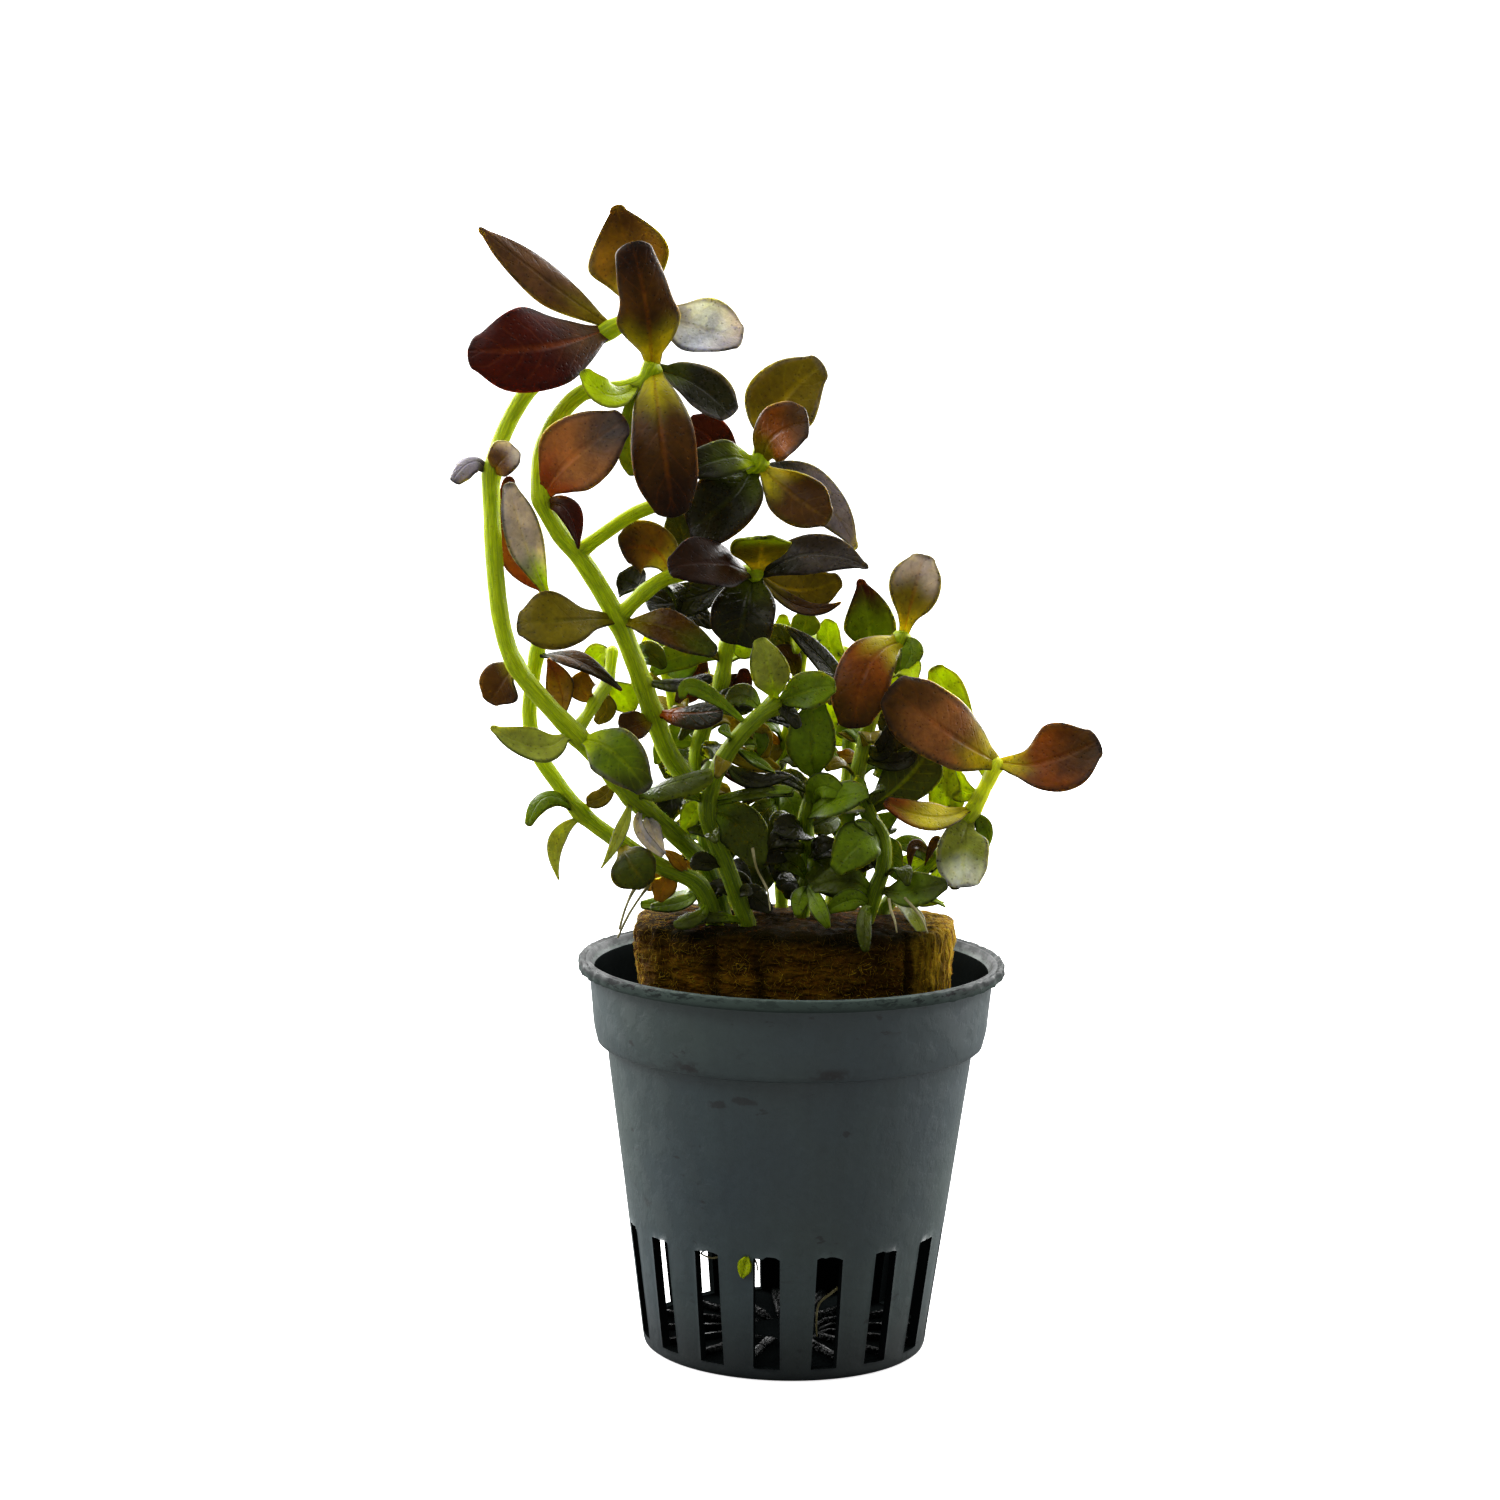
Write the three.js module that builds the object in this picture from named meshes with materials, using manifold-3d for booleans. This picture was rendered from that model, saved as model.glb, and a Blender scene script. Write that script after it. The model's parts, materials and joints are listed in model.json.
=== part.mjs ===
// A potted Bacopa salzmannii: a slotted net pot, the rockwool plug that stands in it, and the
// stems and leaves that grow out of the plug.
// Millimetres, Z up, origin at the centre of the pot's foot. The front of the plant faces -Y.
import * as THREE from 'three';
import { mergeVertices } from 'three/addons/utils/BufferGeometryUtils.js';
import Module from 'manifold-3d';

const wasm = await Module();
wasm.setup();

// Pot
const POT_HEIGHT = 50;
const RIM_RADIUS = 27;
const RIM_THICKNESS = 1.5;
const RIM_TOP_WIDTH = 1.6;
const COLLAR_TOP_RADIUS = 25.7;
const COLLAR_FOOT_RADIUS = 25;
const COLLAR_FOOT_HEIGHT = 41.4;
const LEDGE_HEIGHT = 39.4;
const LEDGE_OUTER_RADIUS = 24.5;
const WALL_TOP_RADIUS = 23.3;
const FOOT_RADIUS = 18.1;
const FOOT_ROUNDING = 0.8;
const WALL = 1.1;
const FLOOR = 1.4;
const POT_FACETS = 40;

// Slots in the wall and ribs on the floor
const SLOT_COUNT = 16;
const SLOT_WIDTH = 3.3;
const SLOT_BOTTOM = 1.7;
const SLOT_TOP = 16.4;
const SLOT_ARCH = 0.5;
const FIRST_SLOT_DEGREES = -6.7;
const FLOOR_RIB_WIDTH = 1.2;
const FLOOR_RIB_HEIGHT = 0.7;
const FLOOR_RIB_START = 4.5;

// Plug
const PLUG_BOTTOM = 18.5;
const PLUG_TOP = 55.6;
const PLUG_TOP_HALF_WIDTH = 20.4;
const PLUG_BOTTOM_HALF_WIDTH = 17.4;
const PLUG_DEPTH_SHARE = 0.68;
const PLUG_SQUARENESS = 3.2;
const PLUG_BACK_DROP = 1.2;
const PLUG_ROUNDING = 1.6;
const PLUG_CORNERS = 28;
const PLUG_SEAM_DEGREES = 52;
const PLUG_SEAM_STEP = 0.5;
const PLUG_FOLD = 0.2;
const PLUG_SMALL_FOLD = 0.15;

// Plant
const GAP = 0.35;
const STEM_SIDES = 6;
const STEM_STEP = 5.5;
const LEAF_THICKNESS = 0.62;
const LEAFLET_THICKNESS = 0.56;
const THINNEST_SHARE = 0.4;

// The plant is laid out as a viewer in front of it sees it. A place is given by how far across
// and how far up it appears on the upright plane through the pot's axis, and by how far behind
// that plane it really lies.
const EYE_DISTANCE = 455;
const EYE_HEIGHT = 140;

function seen([across, up, back]) {
  const spread = (EYE_DISTANCE + back) / EYE_DISTANCE;
  return new THREE.Vector3(across * spread, back, EYE_HEIGHT + (up - EYE_HEIGHT) * spread);
}

function appears(point) {
  const spread = (EYE_DISTANCE + point.y) / EYE_DISTANCE;
  return new THREE.Vector2(point.x / spread, EYE_HEIGHT + (point.z - EYE_HEIGHT) / spread);
}

function onPlug([across, back]) {
  return new THREE.Vector3(across, back, PLUG_TOP + GAP);
}

// Each stem: its name, its radius at the foot and at the tip, the place on the plug where it
// stands, as [across, back], and then the places that it passes, as [across, up, back].
const STEMS = [
  ['stem_left', 1.25, 1.1, [-8.8, -3.4], [
    [-10.8, 61, -5], [-15.5, 66, -7.5], [-20.6, 70.3, -9], [-24.5, 74.6, -10], [-27.6, 78, -10.5],
    [-31.5, 82, -10.5], [-35.3, 86.7, -9.5], [-37, 91.5, -8.5], [-38.1, 100, -7], [-38.5, 107, -5.5],
    [-38.5, 110.6, -5], [-37.2, 115.3, -3.5], [-34, 121, -1.5], [-29, 125.2, 1], [-24.2, 128.6, -0.5],
    [-19.8, 130.9, 1]]],
  ['stem_far_left', 1.15, 0.95, [-9.6, -8.4], [
    [-12, 59.2, -9], [-16.6, 61.4, -9], [-22.5, 64.8, -8], [-27, 68.2, -7], [-30, 72, -6],
    [-32.6, 76, -5], [-33.5, 80, -4], [-33.3, 84, -3.5], [-32.7, 88, -3], [-31.4, 95.3, -3]]],
  ['stem_main', 1.4, 1.1, [-10, 1.5], [
    [-10.4, 62, 0], [-11.5, 68, -1], [-13.6, 72.5, -2], [-16, 76, -3], [-18, 81, -4],
    [-20.2, 87, -5], [-22.4, 92.3, -6], [-24.6, 96.2, -6], [-27.3, 100.3, -6], [-30, 103.5, -6],
    [-32.2, 107.8, -6], [-32.3, 113, -5], [-30.3, 117.8, -4], [-27, 121, -3], [-23, 121.4, -2.5],
    [-19.9, 122.2, -2.5], [-18.6, 124.2, -2.5]]],
  ['shoot_high', 0.95, 0.9, null, [
    [-25.8, 102.4, -5.6], [-21, 105.8, -4], [-18.5, 106.9, -3], [-13, 108.6, 0], [-8.5, 110.4, 1],
    [-5.4, 112.4, 1], [-4.9, 114.8, 1]]],
  ['branch_middle', 1, 0.9, null, [
    [-20.9, 94.6, -6.3], [-19, 96.4, -6.4], [-16.8, 97.9, -6], [-13, 98.8, -3.4], [-9, 98.9, -1.5],
    [-5.2, 98.6, -1]]],
  ['stem_centre', 1.15, 1.05, [-5.6, -8], [
    [-8.6, 62, -9], [-10.8, 67.5, -9.2], [-10.6, 71.5, -9.2], [-8.3, 76.6, -9], [-5, 80.5, -9],
    [-2.6, 82.4, -8.5]]],
  ['stem_centre_tall', 1.1, 1, [-6.6, 3], [
    [-8.8, 63, 3], [-11.2, 70, 2.5], [-12.4, 75, 2], [-11.3, 80, 1.5], [-9.6, 84.5, 1],
    [-8.8, 90, 1.5]]],
  ['shoot_left_low', 0.8, 0.75, null, [
    [-26.2, 80.6, -8.4], [-25.2, 82.4, -6.5], [-23.7, 85, -3.5], [-23.2, 88.6, -2]]],
  ['stem_right', 1, 0.85, [11.5, 3], [
    [14, 59.4, 4], [17.5, 62.8, 4], [20.2, 66, 3], [22.4, 69.2, 2], [23.9, 72.2, 1],
    [25.4, 75.4, 0]]],
  ['stem_right_tall', 1, 0.95, [9.2, -6], [
    [10.4, 58.8, -6.5], [11.4, 62, -6], [11.2, 65.4, -5], [9.2, 69, -3.5], [7.9, 72.8, -2.5],
    [8.4, 76.5, -1.5], [9.2, 80, -1], [11, 86, 0.5], [13.2, 91.2, 1]]],
  ['stem_back_middle', 0.85, 0.75, [-1.4, 8], [
    [-2, 66, 8.5], [-1.9, 74, 9], [-0.9, 79.5, 9], [0.2, 86, 9], [0.8, 90.6, 9]]],
  ['stem_back_right', 0.85, 0.75, [5, 9], [
    [5.8, 66, 9.5], [6.6, 74, 10], [6.9, 80, 10], [8, 85, 9.5], [8.8, 88.4, 9]]],
  ['stem_back_left', 0.9, 0.75, [-7.6, 9], [
    [-10.6, 64, 10], [-12.6, 71, 10], [-14.4, 78, 10], [-15.8, 84, 9.5], [-17, 88, 9]]],
  ['stem_middle_right', 1, 0.9, [1.2, -1], [
    [2, 62, -2], [1.5, 68, -3], [2.6, 72.6, -4]]],
];

// A leaf's outline: how wide it is, as a share of its full width, at places from base to tip.
const OUTLINES = {
  spoon: [[0, 0.26], [0.2, 0.42], [0.42, 0.82], [0.62, 1], [0.82, 0.86], [0.95, 0.48]],
  oval: [[0, 0.28], [0.18, 0.62], [0.38, 0.95], [0.58, 1], [0.78, 0.8], [0.94, 0.42]],
  spear: [[0, 0.3], [0.2, 0.74], [0.4, 1], [0.6, 0.9], [0.8, 0.56], [0.94, 0.2]],
  bottle: [[0, 0.36], [0.14, 0.8], [0.28, 1], [0.5, 0.84], [0.72, 0.76], [0.93, 0.6]],
  tongue: [[0, 0.36], [0.18, 0.72], [0.4, 0.94], [0.62, 1], [0.82, 0.9], [0.95, 0.6]],
  rhomb: [[0, 0.3], [0.2, 0.6], [0.48, 1], [0.66, 0.86], [0.84, 0.5], [0.95, 0.2]],
};

// Each leaf that is a piece of its own: its name, the stem that carries it, where it leaves the
// stem as [across, up], where its midrib bends and where its tip is as [across, up, back], its
// width, its outline, the way its upper face looks, how far its edges lift towards that face as
// a share of its half width, and its colour.
const LEAVES = [
  ['leaf_spear', 'stem_left', [-23.7, 128.9], [-33, 135.4, -2], [-40.3, 141, -4], 5.2, 'spear',
    [0, -0.85, 0.5], -0.3, 'umber'],
  ['leaf_wine', 'stem_left', [-24.4, 128.5], [-33, 126.3, -8.5], [-41.6, 125.8, -10], 11, 'oval',
    [0, -0.95, 0.3], -0.12, 'wine'],
  ['leaf_diamond', 'stem_left', [-19.8, 130.9], [-21.6, 137.4, 4.5], [-23.4, 144.1, 5], 10.4, 'rhomb',
    [0, -1, 0.1], 0.1, 'amber'],
  ['leaf_cream', 'stem_left', [-19.8, 130.9], [-12.4, 128.9, -1], [-7.5, 127.9, -2], 8.6, 'oval',
    [0.1, -0.8, 0.6], 0.25, 'silver'],
  ['leaf_bottle', 'stem_main', [-18.6, 124.2], [-19.6, 132, -8], [-21.4, 139.6, -8], 7.8, 'bottle',
    [0, -0.95, 0.2], -0.4, 'umber'],
  ['leaf_hanging', 'stem_main', [-18.6, 124.2], [-17.3, 115.4, -9.6], [-15.7, 105.6, -9], 8, 'tongue',
    [0, -1, 0.1], -0.2, 'umber'],
  ['leaf_dark_top', 'stem_main', [-18.6, 124.2], [-12.7, 121.8, -2.2], [-8.8, 118.3, -2.6], 6.2, 'tongue',
    [0.2, -0.8, 0.6], 0.15, 'ink'],
  ['leaf_rust', 'stem_main', [-32.2, 108.1], [-28, 113.2, -10.5], [-21.8, 117.6, -11], 9.2, 'oval',
    [0, -0.95, 0.25], 0.12, 'rust'],
  ['leaf_silver', 'stem_far_left', [-31.4, 95.3], [-34.4, 102.8, -5.5], [-36.4, 109.6, -6.5], 4.6,
    'oval', [0.1, -0.95, 0.2], 0.15, 'silver'],
  ['leaf_ember', 'stem_far_left', [-31.4, 95.3], [-35.7, 101.8, -2.5], [-36.2, 110.4, -2], 4.4, 'oval',
    [-0.2, -0.95, 0.2], 0.1, 'rust'],
  ['leaf_olive_top', 'shoot_high', [-4.9, 114.8], [-2.6, 120.3, 3], [2.6, 125, 3], 9.2, 'oval',
    [0, -1, 0.1], 0.12, 'olive'],
  ['leaf_brown_top', 'shoot_high', [-5.2, 113], [-2.9, 116.3, -3.4], [0.9, 117.7, -5], 7.2, 'tongue',
    [0, -0.9, 0.4], 0.15, 'umber'],
  ['leaf_brown_low', 'shoot_high', [-5.2, 112.4], [-0.4, 108.2, -2.4], [3.8, 105.7, -3.6], 7, 'oval',
    [0, -0.9, 0.4], 0.1, 'amber'],
  ['leaf_slate', 'shoot_high', [-5.4, 112.4], [2.2, 108.6, 5], [7.1, 102, 5], 6, 'spear',
    [0, -0.9, 0.4], 0.1, 'slate'],
  ['leaf_dark_fan', 'shoot_high', [-5.2, 112.9], [-9.6, 113, -2.5], [-13.7, 111.4, -4], 5.6, 'tongue',
    [0, -0.8, 0.6], 0.1, 'moss'],
  ['leaf_dark_low', 'shoot_high', [-5.9, 111.9], [-9.3, 107.5, -3.4], [-13.7, 104.2, -1.8], 8.4, 'tongue',
    [0, -0.9, 0.4], 0.15, 'moss'],
  ['leaf_wine_small', 'branch_middle', [-5.9, 98.9], [-10.8, 100, -8.9], [-16.4, 99.2, -11.2], 7.2,
    'oval', [0, -0.85, 0.5], 0.1, 'wine'],
  ['leaf_lime', 'branch_middle', [-5.2, 98.6], [-4.7, 102, -5], [-4.5, 103.4, -9.6], 7.6, 'oval',
    [0, -0.3, 0.95], 0.05, 'lime'],
  ['leaf_slate_right', 'branch_middle', [-5.2, 98.6], [2, 101.3, -2.4], [8.7, 99.7, -4], 6.2, 'spear',
    [0, -0.8, 0.6], 0.1, 'slate'],
  ['leaf_olive_right', 'branch_middle', [-5.2, 98.6], [0.4, 96.8, 1.5], [5.3, 98.4, 2], 5.6, 'oval',
    [0, -1, 0.2], 0.1, 'olive'],
  ['leaf_glossy_down', 'branch_middle', [-5.4, 98.5], [-6.7, 93.8, -6.5], [-7.4, 89.8, -6.5], 8,
    'tongue', [0, -0.95, 0.3], 0.25, 'ink'],
  ['leaf_black_left', 'branch_middle', [-6.6, 98.6], [-13.4, 95.4, 0.5], [-19, 94.6, -1], 5, 'tongue',
    [0, -0.8, 0.6], 0.1, 'ink'],
  ['leaf_crumpled', 'branch_middle', [-15.5, 98.4], [-18.6, 101.7, -3], [-22.3, 101.3, -3.5], 6.6,
    'tongue', [0, -0.95, 0.2], 0.1, 'amber'],
  ['leaf_black_curl', 'branch_middle', [-19, 96.4], [-20.9, 97.2, -3], [-22.8, 97.8, -2.6], 4.8,
    'oval', [0, -0.9, 0.4], 0.2, 'ink'],
  ['leaf_olive_left', 'stem_main', [-22.6, 92.8], [-29.2, 92.4, -13], [-35.2, 91.8, -14], 7.6,
    'spoon', [0, -0.9, 0.45], 0.1, 'olive'],
  ['leaf_striped', 'stem_main', [-22.4, 92.3], [-16.2, 91.6, -9], [-10.2, 88.6, -9.5], 5.2, 'oval',
    [0, -0.75, 0.65], 0.1, 'slate'],
  ['leaf_brown_point', 'stem_far_left', [-32.7, 88], [-27.4, 87.3, -8], [-21.9, 83.7, -9], 3.2,
    'spear', [0.2, -0.6, 0.75], 0.1, 'umber'],
  ['leaf_amber', 'stem_left', [-28.9, 79.4], [-29.7, 84.2, -7], [-31.3, 87.6, -8.2], 3.6, 'rhomb',
    [0, -1, 0.1], 0.1, 'amber'],
  ['leaf_pale_point', 'stem_left', [-27.6, 78], [-33, 76.4, -13.5], [-38.4, 78.9, -13.5], 5.4, 'spear',
    [0, -0.7, 0.7], 0.2, 'pale'],
  ['leaf_green_broad', 'stem_left', [-27.6, 78], [-22.8, 75.7, -13.5], [-18.6, 71, -13.5], 6.8,
    'oval', [0, -0.85, 0.5], 0.1, 'leaf'],
  ['leaf_green_curl', 'stem_left', [-20.6, 70.3], [-15.4, 72, -12], [-10.4, 73.5, -12.5], 4,
    'tongue', [0, -0.6, 0.8], -0.4, 'moss'],
  ['leaf_round_olive', 'stem_far_left', [-21.8, 64.4], [-20.6, 61.8, -12.5], [-18.4, 59, -12.5], 6, 'spoon',
    [0, -1, 0.1], 0.1, 'olive'],
  ['leaf_red_broad', 'stem_right', [25.4, 75.4], [18.6, 79.6, -5], [11.6, 84.8, -6], 8.8, 'tongue',
    [0, -0.95, 0.3], -0.1, 'rust'],
  ['leaf_right_tip', 'stem_right', [25.4, 75.4], [31.6, 75.7, -3], [38.2, 78.6, -4], 8.8, 'spoon',
    [0, -0.9, 0.4], 0.1, 'rust'],
  ['leaf_orange_low', 'stem_right', [22.6, 69.6], [16.8, 68.4, -3.5], [11.3, 70.3, -5], 4.2, 'oval',
    [0, -0.8, 0.6], 0.15, 'amber'],
  ['leaf_pale_hanging', 'stem_right', [21.9, 68.4], [21.4, 64.3, -1.6], [21.8, 59.5, -2.2], 6.6,
    'tongue', [0, -1, 0.1], 0.15, 'pale'],
  ['leaf_green_square', 'stem_right_tall', [9.2, 69], [14.4, 73.6, -1], [16.6, 77, -1], 6.6, 'tongue',
    [0, -1, 0.1], 0.1, 'leaf'],
  ['leaf_high_right', 'stem_right_tall', [13.2, 91.2], [14.3, 96.2, 0], [15.6, 101.6, 1], 6.6,
    'spoon', [0, -0.95, 0.3], 0.15, 'lime'],
  ['leaf_brown_bend', 'stem_right_tall', [13.2, 91.2], [8.6, 86.8, -4.5], [7.4, 79.5, -5], 7.2, 'tongue',
    [0, -0.9, 0.4], -0.1, 'rust'],
  ['leaf_green_low_right', 'stem_right_tall', [10.4, 58.8], [15, 58.9, -8], [19.6, 60, -8], 4.6,
    'oval', [0, -0.85, 0.5], 0.1, 'leaf'],
  ['leaf_dark_tip', 'stem_back_right', [8.8, 88.4], [9, 93, 7.5], [7.6, 98.4, 7], 6.8, 'spear',
    [0, -1, 0.1], 0.15, 'leaf'],
  ['leaf_green_middle', 'stem_middle_right', [2.6, 72.6], [2, 77.4, -8], [2.6, 83, -7.5], 6.2,
    'oval', [0, -1, 0.1], 0.1, 'leaf'],
  ['leaf_pale_upright', 'stem_centre', [-2.6, 82.4], [-3.4, 86.4, -11.5], [-4.8, 90.7, -11.5], 4.8,
    'oval', [0, -0.95, 0.3], 0.15, 'lime'],
  ['leaf_gloss_brown', 'stem_main', [-18, 81], [-13, 80.9, -7.5], [-9.2, 81.3, -8.5], 4.2, 'tongue',
    [0, -0.7, 0.7], -0.2, 'ink'],
];

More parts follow.
